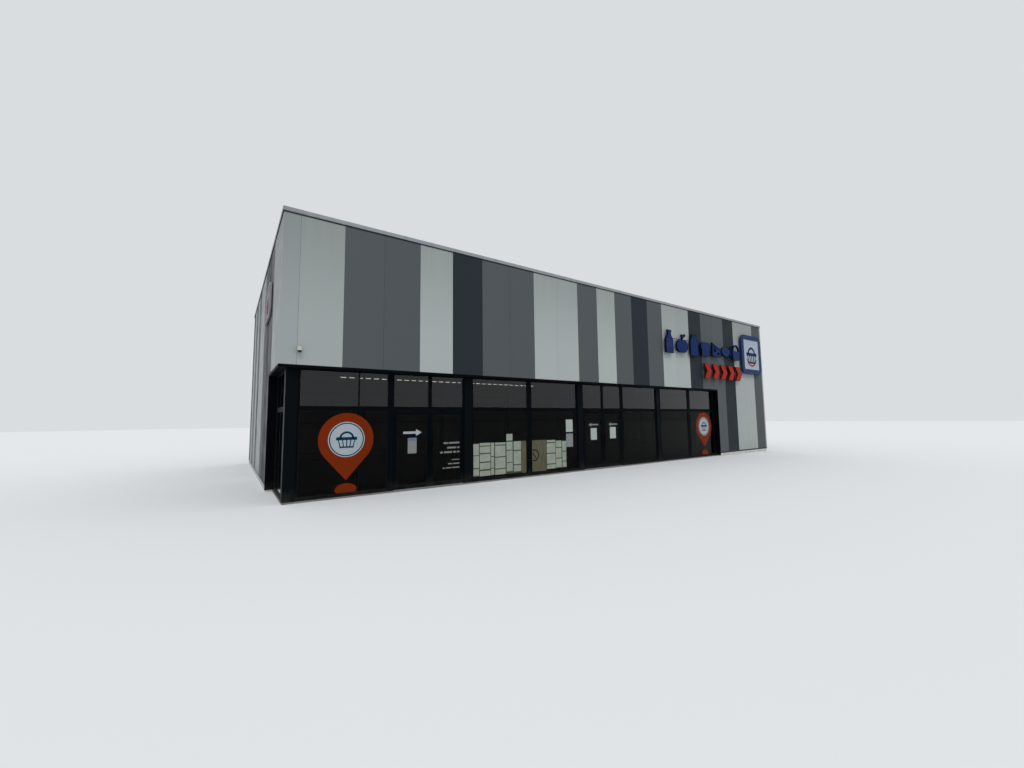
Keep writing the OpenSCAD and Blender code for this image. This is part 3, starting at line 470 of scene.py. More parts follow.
IN_FRAME = {"mottle": 0.2, "top": 3.2, "streak": 0.01, "foot": 0.04, "rise": 0.35}
dress(coated("coping_coat", rgb(134, 140, 144), streak=0.15), "coping")
COPING_CAP = dress(coated("coping_cap_coat", rgb(127, 133, 137), streak=0.15), "coping_caps")
dress(coated("flashing_coat", rgb(140, 147, 149), reach=1.5, streak=0.1), "corner_flashings")
dress(coated("parapet_lining", rgb(168, 171, 171), top=6.88, streak=0.5), "parapet_liner")
dress(coated("drip_edge_coat", rgb(26, 30, 33), foot=0.17, rise=0.05, dust=0.08), "base_drips")
FRAME_COAT = dress(
    coated("dark_frame_coat", rgb(4, 8, 11), (0.42, 0.6), dust=0.05, fineness=900.0,
           sheen=0.025, **IN_FRAME),
    "shopfront_posts", "shopfront_rails", "opening_trim", "hinges",
    *[f"{door}_leaf" for door in DOORS])
dress(coated("casing_coat", rgb(5, 11, 15), (0.36, 0.5), dust=0.06, sheen=0.03, **IN_FRAME),
      "post_casings")

# %% [markdown]
# The structure behind the glass is rolled steel under a dull grey primer, brushed on, with thin
# rusty runs. The rails and the roof deck are galvanised sheet. Zinc freezes in flat crystals, each
# a shade lighter or darker than the next. A Voronoi pattern has just such cells, so it gives the
# spangle.

# %% Primer
primer = Finish("grey_primer", 90.0)
brush = noise(primer.place, 1.0, 4.0, (30.0, 30.0, 2.0))
paint = tint(brush, rgb(128, 132, 135), rgb(96, 98, 100), 0.35)
paint = tint(share(primer.peel, 0.68, 0.8), paint, rgb(104, 74, 54), 0.25)
dress(primer.done(paint, (0.55, 0.75), 0.0006, 0.5, height=brush),
      "columns", "roof_beams", "parapet_posts")

# %% Zinc
CRYSTAL = 0.018  # size of a crystal in metres
zinc = Finish("galvanised_sheet", 60.0, Metallic=0.85)
crystals = put("TexVoronoi", {"Vector": zinc.place, "Scale": 1 / CRYSTAL})["Color"]
tone = axes(crystals)["X"]
metal = tint(tone, rgb(158, 163, 168), rgb(190, 194, 198))
metal = tint(zinc.mottle, metal, rgb(128, 132, 134), 0.3)
dress(zinc.done(metal, (0.32, 0.55), 0.0001, 0.3, tone, tone), "wall_rails", "roof_deck")

# %% [markdown]
# Brushed aluminium has fine scratches along one direction. Noise that is stretched very long
# draws them, and the thresholds and the signs' spacers take it.

# %% Brushed aluminium
aluminium = Finish("brushed_aluminium", 50.0, Metallic=1.0)
scratch = noise(aluminium.place, 1.0, 6.0, (3.0, 700.0, 700.0))
metal = tint(scratch, rgb(150, 153, 156), rgb(196, 199, 202))
metal = tint(aluminium.mottle, metal, rgb(118, 116, 112), 0.35)
ALUMINIUM = dress(aluminium.done(metal, (0.28, 0.5), 0.0001, 0.4, scratch, scratch),
                  "thresholds", "sign_spacers")

# %% [markdown]
# Three mineral surfaces are left. The plinth is cast concrete with pores, damp at the foot and
# pale runs. The floor inside is polished, in square fields with joints. The roof covering is a
# grey sheet with slow stains where water has stood.

# %% Cast concrete
concrete = Finish("plinth_concrete", sheen=0.25)
blotch = noise(concrete.place, 3.0, 8.0)
pore = put("TexVoronoi", {"Vector": concrete.place, "Scale": 45.0})["Distance"]
hole = rest(share(pore, 0.06, 0.14))
body = tint(share(blotch, 0.3, 0.75), rgb(190, 192, 187), rgb(172, 172, 166))
body = concrete.stain(body, FOOT_DUST, 0.0, 0.12, 0.25, rgb(104, 102, 92))
body = concrete.stain(body, STREAKS, 0.2, -0.25, 0.15, rgb(118, 118, 112))
body = tint(hole, body, rgb(92, 90, 84), 0.6)
relief = sums("SUBTRACT", sums("MULTIPLY", blotch, 0.6), hole)
dress(concrete.done(body, (0.8, 0.95), 0.002, 0.6, blotch, relief), "plinth")

# %% Polished floor
FIELD, JOINT = 0.6, 0.004
inner_floor = Finish("polished_floor", sheen=0.3)
where = axes(inner_floor.place)
joint = sums("MAXIMUM", *[
    sums("LESS_THAN", sums("PINGPONG", where[axis], FIELD / 2), JOINT / 2) for axis in "XY"])
marble = noise(inner_floor.place, 5.0, 8.0)
stone = tint(marble, rgb(96, 95, 92), rgb(122, 120, 116))
dress(inner_floor.done(tint(joint, stone, rgb(56, 55, 53)), (0.35, 0.55), 0.001, 0.5,
                       marble, rest(joint)), "floor_slab")

# %% Roof sheet
roof_sheet = Finish("roof_sheet", 260.0, 0.25)
stain = noise(roof_sheet.place, 0.7, 8.0)
sheet = tint(share(stain, 0.35, 0.7), rgb(146, 149, 148), rgb(132, 134, 131))
ring = rest(share(sums("ABSOLUTE", sums("SUBTRACT", stain, 0.56)), 0.0, 0.03))
ROOF_SHEET = dress(roof_sheet.done(tint(ring, sheet, rgb(96, 92, 82), 0.22), (0.6, 0.85),
                                   0.0008, 0.4, stain), "roof_covering")

# %% [markdown]
# The glass is sun-protection glass: dark and slightly green, with faint smudges that only show
# as a change of gloss. Transmission stays a plain number and the tint sits in the base colour, so
# the exported model keeps it. Its index is set low, because the panes that one looks into mirror
# dark surroundings on the real building. The lights above the transom mirror bright ones, and so
# does every pane that is seen along the wall. A thin coat with its own gloss does both: its
# weight follows the height and the slant of the view.

# %% Sun-protection glass
GLASS_TINT = (0.120, 0.132, 0.120, 1.0)
TRANSOM = (2.18, 2.20)  # the mirror coat sets in across this height
glass = Finish("sun_glass", Transmission_Weight=1.0, IOR=1.15, Coat_Roughness=0.02)
smudge = share(noise(glass.place, 2.4, 6.0), 0.45, 0.8)
upper = sums("MULTIPLY", 0.80, share(axes(glass.place)["Z"], *TRANSOM))
glance = put("LayerWeight", {"Blend": 0.5}, glass.tree)["Facing"]
feed(glass.shader["Coat Weight"], sums("MAXIMUM", upper, share(glance, 0.62, 0.85)))
dress(glass.done(tint(smudge, GLASS_TINT, shade(GLASS_TINT, 1.12)), (0.0, 0.03),
                 patches=smudge), "shopfront_glass", *[f"{door}_glass" for door in DOORS])

# %% [markdown]
# Small new pieces all end the same way: placed on their wall, faces turned outwards, named,
# dressed and tied to the body that carries them. That work is done by one function, and the few
# shapes that come again and again are drawn by short helpers on top of bmesh operators.

# %% Finish off a piece


def settle(bm, name, materials, wall=ON_FRONT, body="building", slot="dark_frame", smooth=None):
    """Makes a bmesh a piece of the building, and prints what it became."""
    bmesh.ops.transform(bm, matrix=wall, verts=bm.verts)
    bmesh.ops.recalc_face_normals(bm, faces=bm.faces)
    piece = make_object(bm, name, *(materials if isinstance(materials, list) else [materials]))
    if smooth:
        piece.data.shade_smooth()
        piece.data.set_sharp_from_angle(angle=math.radians(smooth))
    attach(piece, body)
    print(f"{name}: {len(piece.data.polygons)} faces on {body}")
    return piece


def build(name, material, draw, places, wall=ON_FRONT, **settings):
    """Draws the same shape at all its places and settles them as one piece."""
    bm = bmesh.new()
    for place in places:
        draw(bm, *place)
    settle(bm, name, material, wall, **settings)


# %% Shapes that come again


def only(kind, parts):
    """The parts of a mesh that are of one kind."""
    return [part for part in parts if isinstance(part, kind)]


def draw_out(bm, faces, offset):
    """Draws flat faces out into closed solids, and returns what it made."""
    made = bmesh.ops.extrude_face_region(bm, geom=faces)["geom"]
    bmesh.ops.translate(bm, vec=offset, verts=only(BMVert, made))
    return made


def soften(bm, edges, width):
    """Takes the sharpness off edges."""
    bmesh.ops.bevel(bm, geom=edges, offset=width, offset_type="OFFSET", segments=2,
                    profile=0.5, affect="EDGES", material=-1)


def add_block(bm, low, high, rounding=0.0):
    """A block between two corners, its edges softened if asked."""
    low, high = Vector(low), Vector(high)
    made = bmesh.ops.create_cube(bm, size=1.0)["verts"]
    bmesh.ops.scale(bm, vec=high - low, verts=made)
    bmesh.ops.translate(bm, vec=(low + high) / 2, verts=made)
    if rounding:
        soften(bm, list({edge for vert in made for edge in vert.link_edges}), rounding)


def add_outline(bm, points, depth, thickness):
    """A flat shape from a few points (u, z), its back at a depth, drawn out to the viewer."""
    verts = [bm.verts.new((u, depth, z)) for u, z in points]
    draw_out(bm, [bm.faces.new(verts)], (0, -thickness, 0))


def stand(bm, verts, centre, size=(1, 1, 1)):
    """Turns a flat plate upright, sizes it, moves it to its centre and returns its face."""
    bmesh.ops.rotate(bm, matrix=Matrix.Rotation(math.pi / 2, 3, "X"), verts=verts)
    bmesh.ops.scale(bm, vec=size, verts=verts)
    bmesh.ops.translate(bm, vec=centre, verts=verts)
    return verts[0].link_faces[0]


def add_ring(bm, u0, u1, z0, z1, width, depth, thickness):
    """An upright frame of a rectangle: a plate, inset, emptied and drawn out to the viewer."""
    made = bmesh.ops.create_grid(bm, x_segments=1, y_segments=1, size=0.5)["verts"]
    middle = stand(bm, made, ((u0 + u1) / 2, depth, (z0 + z1) / 2), (u1 - u0, 1, z1 - z0))
    rim = bmesh.ops.inset_region(bm, faces=[middle], thickness=width, use_even_offset=True,
                                 use_boundary=True)["faces"]
    bmesh.ops.delete(bm, geom=[middle], context="FACES_ONLY")
    draw_out(bm, rim, (0, -thickness, 0))


def add_disc(bm, u, z, radius, depth, thickness, steps=32, squeeze=1.0):
    """A round plate that faces the viewer, squeezed in height if asked; returns its corners."""
    made = bmesh.ops.create_circle(bm, cap_ends=True, radius=radius, segments=steps)["verts"]
    face = stand(bm, made, (u, depth, z), (1, 1, squeeze))
    return made + only(BMVert, draw_out(bm, [face], (0, -thickness, 0)))


def on_wall(bm, wall, draw, *places):
    """Draws a shape in a wall's own directions and adds it to a bmesh in the frame's."""
    part = bmesh.new()
    draw(part, *places)
    part.transform(wall)
    mesh = bpy.data.meshes.new("part")
    part.to_mesh(mesh)
    part.free()
    bm.from_mesh(mesh)
    bpy.data.meshes.remove(mesh)


print("shape helpers ready")

# %% [markdown]
# Rubber holds every pane. It shows as a thin matt line between frame and glass, a few
# millimetres proud of the glass. The first window has two panes on one flush mullion, so panes
# that stand close together are taken as one light and the rubber runs round both.

# %% Rubber
rubber = Finish("black_rubber", 500.0, 0.3)
RUBBER = rubber.done(tint(rubber.mottle, rgb(16, 17, 18), rgb(30, 31, 32)), (0.6, 0.8),
                     0.0002, 0.4)
print("rubber", RUBBER.name)

# %% Find the lights of a wall
BITE = 0.012  # the glass sits this deep in its frames
FLUSH_JOINT = 0.05  # panes nearer than this share a flush mullion


def lights_on(wall):
    """The two corners of each light's glass, with panes on a flush mullion joined."""
    panes = [box for box in solids_of("shopfront_glass", wall) if box[1].y - box[0].y < 0.1]
    panes.sort(key=lambda box: (round(box[0].z, 3), box[0].x))
    lights = []
    for low, high in panes:
        before = lights[-1] if lights else None
        if before and abs(before[0].z - low.z) < 0.001 and 0 < low.x - before[1].x < FLUSH_JOINT:
            before[1].x = high.x
        else:
            lights.append((low.copy(), high.copy()))
    inset = Vector((BITE, 0, BITE))
    return [(low + inset, high - inset) for low, high in lights]


FRONT_LIGHTS, RETURN_LIGHTS = lights_on(ON_FRONT), lights_on(ON_RETURN)
print("lights:", len(FRONT_LIGHTS), "on the front,", len(RETURN_LIGHTS), "on the return")

# %% Rubber round the fixed panes
SEAL = 0.006  # width and thickness of the rubber
for wall, lights, name in ((ON_FRONT, FRONT_LIGHTS, "front_pane_seals"),
                           (ON_RETURN, RETURN_LIGHTS, "return_pane_seals")):
    build(name, RUBBER, add_ring, [
        (low.x, high.x, low.z, high.z, SEAL, depth, SEAL)
        for low, high in lights for depth in (low.y, high.y + SEAL)], wall)

# %% [markdown]
# A strip of dark foam fills the slot between the coping and the cladding, so that wind drives no
# rain up behind the sheet. It shows as the dark line under the coping all round the building, and
# its black also paints the shadow that falls there.

# %% Foam and painted shade under the coping
STRIP_DEEP, STRIP_HIGH, TUCK = 0.012, 0.022, 0.002
coping_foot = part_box("coping")[0].z
build("coping_foam_shade_strips", RUBBER, on_wall, [
    (wall, add_block, (-STRIP_DEEP, -STRIP_DEEP, coping_foot - STRIP_HIGH),
     (length, 0.0, coping_foot + TUCK), 0.003) for wall, length in AROUND], HERE)

# %% [markdown]
# The head of the plinth carries a dark strip of painted shade: it stands for the shadow under the
# drip edge of the cladding. It starts behind the drip edge and shows as the dark line between the
# stripes and the pale concrete. Its runs follow the drip edges, which leave out the shopfront.

# %% Dark strip of painted shade on the plinth
# A dark strip that paints the shadow under the drip edge
SHADE_STRIP_THICK, SHADE_STRIP_HIGH, SHADE_STRIP_TUCK = 0.004, 0.040, 0.005
PLINTH_FACE = min(low.y for low, _ in solids_of("plinth"))
STRIP_FACE = PLINTH_FACE - SHADE_STRIP_THICK
build("plinth_shade_strips", RUBBER, on_wall, [
    (wall, add_block, (max(low.x, STRIP_FACE), STRIP_FACE, low.z - SHADE_STRIP_HIGH),
     (min(high.x, length - STRIP_FACE), PLINTH_FACE, low.z + SHADE_STRIP_TUCK))
    for wall, length in AROUND for low, high in solids_of("base_drips", wall)
    if low.y < 0.0 and high.y < 0.1], HERE)

# %% [markdown]
# The roof covering comes in sheets as wide as a roll, welded where they overlap, and it is turned
# up against the parapet, where a bar with screws clamps it. All of it is drawn on a level roof at
# height zero and then let down onto the slope, which is measured from the solid.

# %% Height of the roof covering
cover = [ON_FRONT.inverted() @ vert.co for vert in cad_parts["roof_covering"].data.vertices]
COVER_FRONT, COVER_BACK = [pick(point.y for point in cover) for pick in (min, max)]
HEAD, FOOT = [max(point.z for point in cover if abs(point.y - d) < 0.001)
              for d in (COVER_FRONT, COVER_BACK)]
COVER_FALL = (HEAD - FOOT) / (COVER_BACK - COVER_FRONT)
PARAPET_FACE = min(box[1].y for box in solids_of("parapet_liner"))


def on_roof(bm, wall, draw, *places):
    """Draws a shape on a level roof beside a wall and lets it down onto the real slope."""
    before = len(bm.verts)
    on_wall(bm, wall, draw, *places)
    bm.verts.ensure_lookup_table()
    for vert in bm.verts[before:]:
        vert.co.z += HEAD - COVER_FALL * (vert.co.y + DEPTH / 2 - COVER_FRONT)


def add_run(bm, section, u0, u1):
    """A bar along the wall with one section, given as points (d, z)."""
    verts = [bm.verts.new((u0, d, z)) for d, z in section]
    draw_out(bm, [bm.faces.new(verts)], (u1 - u0, 0, 0))


print(f"roof falls {COVER_FALL:.3f}, parapet face {PARAPET_FACE:.3f} m in")

# %% Laps and upstands of the roof covering
ROLL, LAP, LAP_HIGH = 1.9, 0.05, 0.0025
SCREW_STEP, SCREW_UP, SCREW, SCREW_HEAD = 0.3, 0.133, 0.006, 0.0025
face = PARAPET_FACE
TURNED_UP = [(face, 0.0), (face + 0.13, 0.0), (face + 0.129, 0.003), (face + 0.03, 0.004),
             (face + 0.004, 0.03), (face + 0.004, 0.15), (face, 0.15)]
CLAMP = [(face + 0.004, 0.118), (face + 0.007, 0.120), (face + 0.007, 0.146),
         (face + 0.004, 0.148)]
build("roof_laps", ROOF_SHEET, on_roof, [
    (ON_FRONT, add_block, (face + i * ROLL - LAP / 2, face + 0.1, 0.0),
     (face + i * ROLL + LAP / 2, DEPTH - face - 0.1, LAP_HIGH))
    for i in range(1, int((WIDTH - 2 * face) / ROLL) + 1)], HERE, slot="white_metal")
build("roof_upstands", ROOF_SHEET, on_roof, [
    (wall, add_run, TURNED_UP, face, length - face) for wall, length in AROUND],
    HERE, slot="white_metal")
build("upstand_clamps", ALUMINIUM, on_roof, [
    (wall, add_run, CLAMP, face + 0.01, length - face - 0.01) for wall, length in AROUND],
    HERE, slot="aluminium")
screws = []
for wall, length in AROUND:
    count = int((length - 2 * face) / SCREW_STEP)
    screws += [(wall, add_disc, length / 2 + (i - (count - 1) / 2) * SCREW_STEP, SCREW_UP,
                SCREW, face + 0.007 + SCREW_HEAD, SCREW_HEAD, 8) for i in range(count)]
build("clamp_screws", ALUMINIUM, on_roof, screws, HERE, slot="aluminium")

# %% [markdown]
# Rivets hold the flashings on the corners, one every half metre on each leg. A rivet is a flat
# disc with eight sides, because dozens of them must stay light.

# %% Rivets on the corners
RIVET_STEP, RIVET_IN, RIVET, RIVET_HEAD = 0.5, 0.015, 0.005, 0.002
rivets = []
for wall, length in AROUND:
    for low, high in solids_of("corner_flashings", wall):
        if high.y < 0.3 and min(low.x, length - high.x) < 0.1:
            u = high.x - RIVET_IN if low.x < length / 2 else low.x + RIVET_IN
            rivets += [
                (wall, add_disc, u, low.z + (i + 0.5) * RIVET_STEP, RIVET, low.y, RIVET_HEAD, 8)
                for i in range(int((high.z - low.z - 0.4) / RIVET_STEP) + 1)]
build("flashing_rivets", COPING_CAP, on_wall, rivets, HERE, slot="white_metal")

# %% [markdown]
# A door leaf holds its pane between pressed-in beads. They are slim bars with rounded edges, on
# both faces, with a line of rubber against the glass. A brush closes the slot under the leaf and
# a rubber fin the slot between two leaves, and all of it swings with the leaf.

# %% Door leaves
BEAD, BEAD_OUT, BEAD_SEAL = 0.014, 0.010, 0.004
BRUSH, BRUSH_OUT, FIN_OUT = 0.004, 0.007, 0.005  # half thickness, and how far they stand out


def leaf_parts(door):
    """The two corners of a leaf's frame, of its pane and of its pull bar."""
    bm = merged_copy(f"{door}_leaf")
    points = [ON_FRONT.inverted() @ vert.co for vert in bm.verts]
    bm.free()
    back = max(point.y for point in points)
    low, high = corners([point for point in points if back - point.y < 1e-4])
    pane = solids_of(f"{door}_glass")[0]
    low.y = pane[0].y - (back - pane[1].y)
    return (low, high), pane, corners([point for point in points if point.y < low.y - 0.03])


for door in DOORS:
    (low, high), (pane_low, pane_high), _ = leaf_parts(door)
    beads, seals = bmesh.new(), bmesh.new()
    left, right, foot, head = pane_low.x, pane_high.x, pane_low.z, pane_high.z
    for glass, inner in ((pane_low.y, 0), (pane_high.y, 1)):
        add_ring(beads, left, right, foot, head, BEAD, glass + inner * BEAD_OUT, BEAD_OUT)
        add_ring(seals, left + BEAD, right - BEAD, foot + BEAD, head - BEAD, BEAD_SEAL,
                 glass + inner * BEAD_SEAL, BEAD_SEAL)
    soften(beads, beads.edges[:], 0.002)
    middle = (low.y + high.y) / 2
    add_block(seals, (low.x + 0.006, middle - BRUSH, low.z - BRUSH_OUT),
              (high.x - 0.006, middle + BRUSH, low.z), 0.001)
    if door.endswith("left"):
        add_block(seals, (high.x, middle - BRUSH, low.z + 0.01),
                  (high.x + FIN_OUT, middle + BRUSH, high.z - 0.01), 0.0015)
    settle(beads, f"{door}_beads", FRAME_COAT, body=f"{door}_door")
    settle(seals, f"{door}_seals", RUBBER, body=f"{door}_door")

# %% [markdown]
# Each leaf has a pull bar, which the solids already hold. Two domed caps finish the bar, and the
# lock below it is a turned rose with a keyhole slot in its core. A rose is a lathe job: half its
# section is drawn once and spun round the lock's own axis.

# %% Turned pieces
LOCK = 0.88  # height of the lock
ROSE = [(0.0, 0.009), (0.007, 0.009), (0.008, 0.007), (0.0165, 0.006), (0.019, 0.004),
        (0.0195, 0.0), (0.0, 0.0)]
CAP = [(0.0, 0.003), (0.006, 0.0022), (0.0095, 0.0), (0.0, 0.0)]


def add_turned(bm, section, centre, axis, steps=24):
    """Spins a section of (radius, reach) points round an axis into a closed turned piece."""
    side = Vector(axis).orthogonal().normalized()
    verts = [bm.verts.new(Vector(centre) + side * radius + Vector(axis) * reach)
             for radius, reach in section]
    edges = [bm.edges.new(pair) for pair in zip(verts, verts[1:])]
    bmesh.ops.spin(bm, geom=verts + edges, cent=centre, axis=axis, dvec=(0, 0, 0),
                   angle=math.tau, steps=steps, use_merge=True, use_duplicate=False)
    bmesh.ops.remove_doubles(bm, verts=bm.verts, dist=1e-5)


for door in DOORS:
    (low, high), _, (bar_low, bar_high) = leaf_parts(door)
    u, d, _ = (bar_low + bar_high) / 2
    bm = bmesh.new()
    add_turned(bm, ROSE, (u, low.y, LOCK), (0, -1, 0))
    add_block(bm, (u - 0.0012, low.y - 0.0096, LOCK - 0.004),
              (u + 0.0012, low.y - 0.0088, LOCK + 0.004))
    for z, up in ((bar_high.z, 1), (bar_low.z, -1)):
        add_turned(bm, CAP, (u, d, z), (0, 0, up), 16)
    settle(bm, f"{door}_lock", FRAME_COAT, body=f"{door}_door", smooth=35)

# %% [markdown]
# A threshold is a plate with grooves along it against slipping. Thin ribs are laid on the plate,
# nine side by side, and the ends stay clear of the frame.

# %% Threshold ribs
RIBS, RIB, RIB_HIGH, SUNK, END_GAP = 9, 0.003, 0.0012, 0.0005, 0.01
ribs = []
for low, high in solids_of("thresholds"):
    for i in range(RIBS):
        d = low.y + (i + 0.5) * (high.y - low.y) / RIBS
        ribs.append(((low.x + END_GAP, d - RIB / 2, high.z - SUNK),
                     (high.x - END_GAP, d + RIB / 2, high.z + RIB_HIGH)))
build("threshold_ribs", ALUMINIUM, add_block, ribs, slot="aluminium")

# %% [markdown]
# The first and last windows carry a large map pin of orange film, with a white disc and a
# generic basket of plain bars on it. A pin is a circle whose lower part is pulled down to a
# point: the corners below the tangents go, and one corner becomes the tip. Films lie on the glass
# one above the other, each 0.4 mm thick.

# %% Film and its finish
FILM = 0.0004


def film(name, colour):
    """Printed film on glass: even colour, faint ripples and a soft gloss."""
    finish = Finish(name, 30.0, 0.05)
    return finish.done(tint(finish.mottle, colour, shade(colour, 0.82), 0.5), (0.25, 0.45),
                       0.0004, 0.3)


ORANGE_FILM = film("orange_film", rgb(110, 37, 4))
WHITE_FILM = film("white_film", rgb(154, 164, 170))
# White film drawn grey, as painted shade, for the arrows out and the bars
SHADED_WHITE_FILM = film("shaded_white_film", rgb(116, 120, 116))
BLUE_FILM = film("blue_film", rgb(10, 50, 76))
DARK_FILM = film("dark_film", rgb(14, 15, 14))
print("films ready")

# %% Pin, arc and basket


def add_pin(bm, u, top, tip, radius, depth):
    """A map pin: a circle whose lower corners give way to one tip."""
    centre = top - radius
    made = bmesh.ops.create_circle(bm, cap_ends=True, radius=radius, segments=96)["verts"]
    stand(bm, made, (u, depth, centre))
    tangent = centre - radius ** 2 / (centre - tip)
    lower = sorted((vert for vert in made if vert.co.z < tangent), key=lambda vert: vert.co.z)
    bmesh.ops.dissolve_verts(bm, verts=lower[1:])
    lower[0].co = (u, depth, tip)
    draw_out(bm, [lower[0].link_faces[0]], (0, -FILM, 0))


def add_arc(bm, u, z, inner, outer, start, sweep, depth, thickness, steps=24):
    """A flat band along part of a circle, in degrees from the right, against the clock."""
    arm = Matrix.Rotation(-math.radians(start), 3, "Y") @ Vector((1, 0, 0))
    centre = Vector((u, depth, z))
    shaded_ends = [bm.verts.new(centre + arm * r) for r in (inner, outer)]
    edge = bm.edges.new(shaded_ends)
    before = set(bm.faces)
    bmesh.ops.spin(bm, geom=shaded_ends + [edge], cent=centre, axis=(0, -1, 0), dvec=(0, 0, 0),
                   angle=math.radians(sweep), steps=steps, use_merge=False, use_duplicate=False)
    draw_out(bm, [face for face in bm.faces if face not in before], (0, -thickness, 0))


def add_basket(bm, u, z, size, depth, thickness):
    """A basket of plain bars: a rim, five staves, a foot and a handle."""
    rim, foot, bar = 0.50 * size, 0.34 * size, 0.075 * size
    top, bottom = z + 0.08 * size, z - 0.34 * size
    for half, height, high in ((rim, top, bar), (foot, bottom, bar / 2)):
        add_block(bm, (u - half, depth - thickness, height - high),
                  (u + half, depth, height + high))
    for step in (-2, -1, 0, 1, 2):
        head, heel = u + step * 0.41 * rim, u + step * 0.44 * foot
        add_outline(bm, [(heel - bar / 3, bottom), (heel + bar / 3, bottom),
                         (head + bar / 3, top), (head - bar / 3, top)], depth, thickness)
    add_arc(bm, u, top, 0.26 * size, 0.36 * size, 0, 180, depth, thickness)


print("pin, arc and basket ready")

# %% [markdown]
# Films and sheets are placed from the left corner of the front, in metres, as they were measured.
# Under the pin lies its shadow, half an ellipse that the sill cuts off. The cut is made with a
# plane through the disc, which keeps the curve true.

# %% Pins on the first and last windows
PANE, SILL = FRONT_LIGHTS[0][0].y, FRONT_LIGHTS[0][0].z  # outer face and foot of the glass
PINS = ((1.56, 2.075, 0.42), (17.62, 2.09, 0.46))  # middle, top and tip
PIN_RADIUS, DISC_RADIUS = 0.655, 0.435
SHADOW = (0.20, 0.255, 0.59)  # height and half width of the ellipse, and its squeeze
CIRCLE = (0.385, 0.412)  # radii of the thin line inside the disc's edge
orange, white, blue = bmesh.new(), bmesh.new(), bmesh.new()
for u, top, tip in PINS:
    centre = top - PIN_RADIUS
    add_pin(orange, u, top, tip, PIN_RADIUS, PANE)
    shadow = add_disc(orange, u, *SHADOW[:2], PANE, FILM, 64, SHADOW[2])
    joined = {part for vert in shadow for part in (*vert.link_edges, *vert.link_faces)}
    cut = bmesh.ops.bisect_plane(orange, geom=shadow + list(joined), clear_inner=True,
                                 plane_co=(0, 0, SILL + 0.008), plane_no=(0, 0, 1))["geom_cut"]
    bmesh.ops.contextual_create(orange, geom=only(BMEdge, cut))
    add_disc(white, u, centre, DISC_RADIUS, PANE - FILM, FILM, 64)
    add_basket(blue, u, centre - 0.02, 0.50, PANE - 2 * FILM, FILM)
    add_arc(blue, u, centre, *CIRCLE, 0, 360, PANE - 2 * FILM, FILM, 64)
settle(orange, "pin_films", ORANGE_FILM, slot="orange_sign")
settle(white, "pin_disc_films", WHITE_FILM, slot="white_plastic")
settle(blue, "basket_films", BLUE_FILM, slot="blue_sign")

# %% [markdown]
# Two windows are covered to waist height with printed sheets in a loose brickwork, pale with
# faint grey lines, and boards of brown paper stand between them. Single sheets hang on the doors
# and beside them. Their print is too fine to read, so it becomes plain grey bands.

# %% Paper and board


def paper(name, colour, bands):
    """Matt paper behind glass: a little uneven, with rows of faint grey print."""
    finish = Finish(name, 120.0, 0.2, Coat_Weight=0.35, Coat_Roughness=0.05)
    row = sums("LESS_THAN", sums("PINGPONG", axes(finish.place)["Z"], 0.011), 0.0032)
    marks = share(noise(finish.place, 1.0, 2.0, (34, 34, 45)), 0.46, 0.52)
    column = share(noise(finish.place, 1.0, 0.0, (3.1, 3.1, 4.3)), 0.40, 0.50)
    lines = sums("MULTIPLY", sums("MULTIPLY", row, marks), column)
    sheet = tint(finish.mottle, colour, shade(colour, 0.86), 0.5)
    return finish.done(tint(lines, sheet, rgb(84, 90, 88), bands), (0.7, 0.9), 0.0003, 0.3,
                       finish.peel)


PAPER = paper("printed_sheet", rgb(138, 146, 133), 0.8)
BACKING = paper("dark_backing", rgb(52, 58, 48), 0.0)
NOTICE = paper("plain_notice", rgb(160, 167, 164), 0.3)
BUSY_NOTICE = paper("printed_notice", rgb(121, 126, 125), 0.9)
HEAD_BLUE = paper("blue_heading", rgb(96, 108, 132), 0.3)
SEA_BLUE = paper("pale_blue_sheet", rgb(118, 126, 128), 0.6)
kraft = Finish("brown_board", sheen=0.2, Coat_Weight=0.3, Coat_Roughness=0.05)
fibres = noise(kraft.place, 1.0, 5.0, (60.0, 60.0, 3.0))
brown = tint(share(fibres, 0.3, 0.7), rgb(62, 60, 43), rgb(88, 85, 63))
KRAFT = kraft.done(brown, (0.7, 0.9), 0.0004, 0.4, fibres, fibres)
print("papers ready")

# %% Where the sheets hang
# Each column: left and right edge, then the top and foot of its sheets, in metres.
SHEETS = (
    (5.144, 5.348, (1.139, 0.807), (0.786, 0.432), (0.402, 0.207)),
    (5.376, 5.751, (1.165, 1.085), (1.055, 0.865), (0.828, 0.605), (0.566, 0.377),
     (0.331, 0.18)),
    (5.773, 5.884, (1.160, 0.750), (0.722, 0.398), (0.372, 0.19)),
    (5.921, 6.307, (1.155, 1.092), (1.060, 0.725), (0.693, 0.366), (0.334, 0.179)),
    (6.346, 6.580, (1.410, 1.200), (1.166, 0.910), (0.885, 0.528), (0.503, 0.244)),
    (6.620, 6.909, (1.170, 0.895), (0.862, 0.444), (0.412, 0.22)),
    (7.988, 8.365, (1.152, 1.084), (1.049, 0.724), (0.690, 0.366), (0.332, 0.196)),
    (8.387, 8.643, (1.120, 0.900), (0.870, 0.540), (0.512, 0.215)),
    (8.676, 8.860, (1.100, 0.760), (0.730, 0.420), (0.392, 0.21)),
)
# All others: left and right edge, foot and top.
BOARDS = ((6.930, 7.118, 0.15, 1.17), (7.355, 7.960, 0.15, 1.17))
BACKINGS = ((5.130, 6.930, 0.17, 1.16), (7.960, 8.865, 0.19, 1.10))
SINGLE_SHEETS = ((8.872, 9.190, 1.405, 1.837, NOTICE), (8.872, 9.190, 0.885, 1.345, SEA_BLUE))
DOOR_SHEETS = {
    "entry_left": ((3.130, 3.380, 0.980, 1.308, BUSY_NOTICE),
                   (3.130, 3.380, 1.308, 1.400, HEAD_BLUE)),
    "exit_left": ((10.085, 10.400, 1.085, 1.510, NOTICE),),
    "exit_right": ((11.115, 11.445, 1.100, 1.530, NOTICE),),
}
print("columns of sheets:", len(SHEETS))

# %% Sheets and boards on the windows and doors


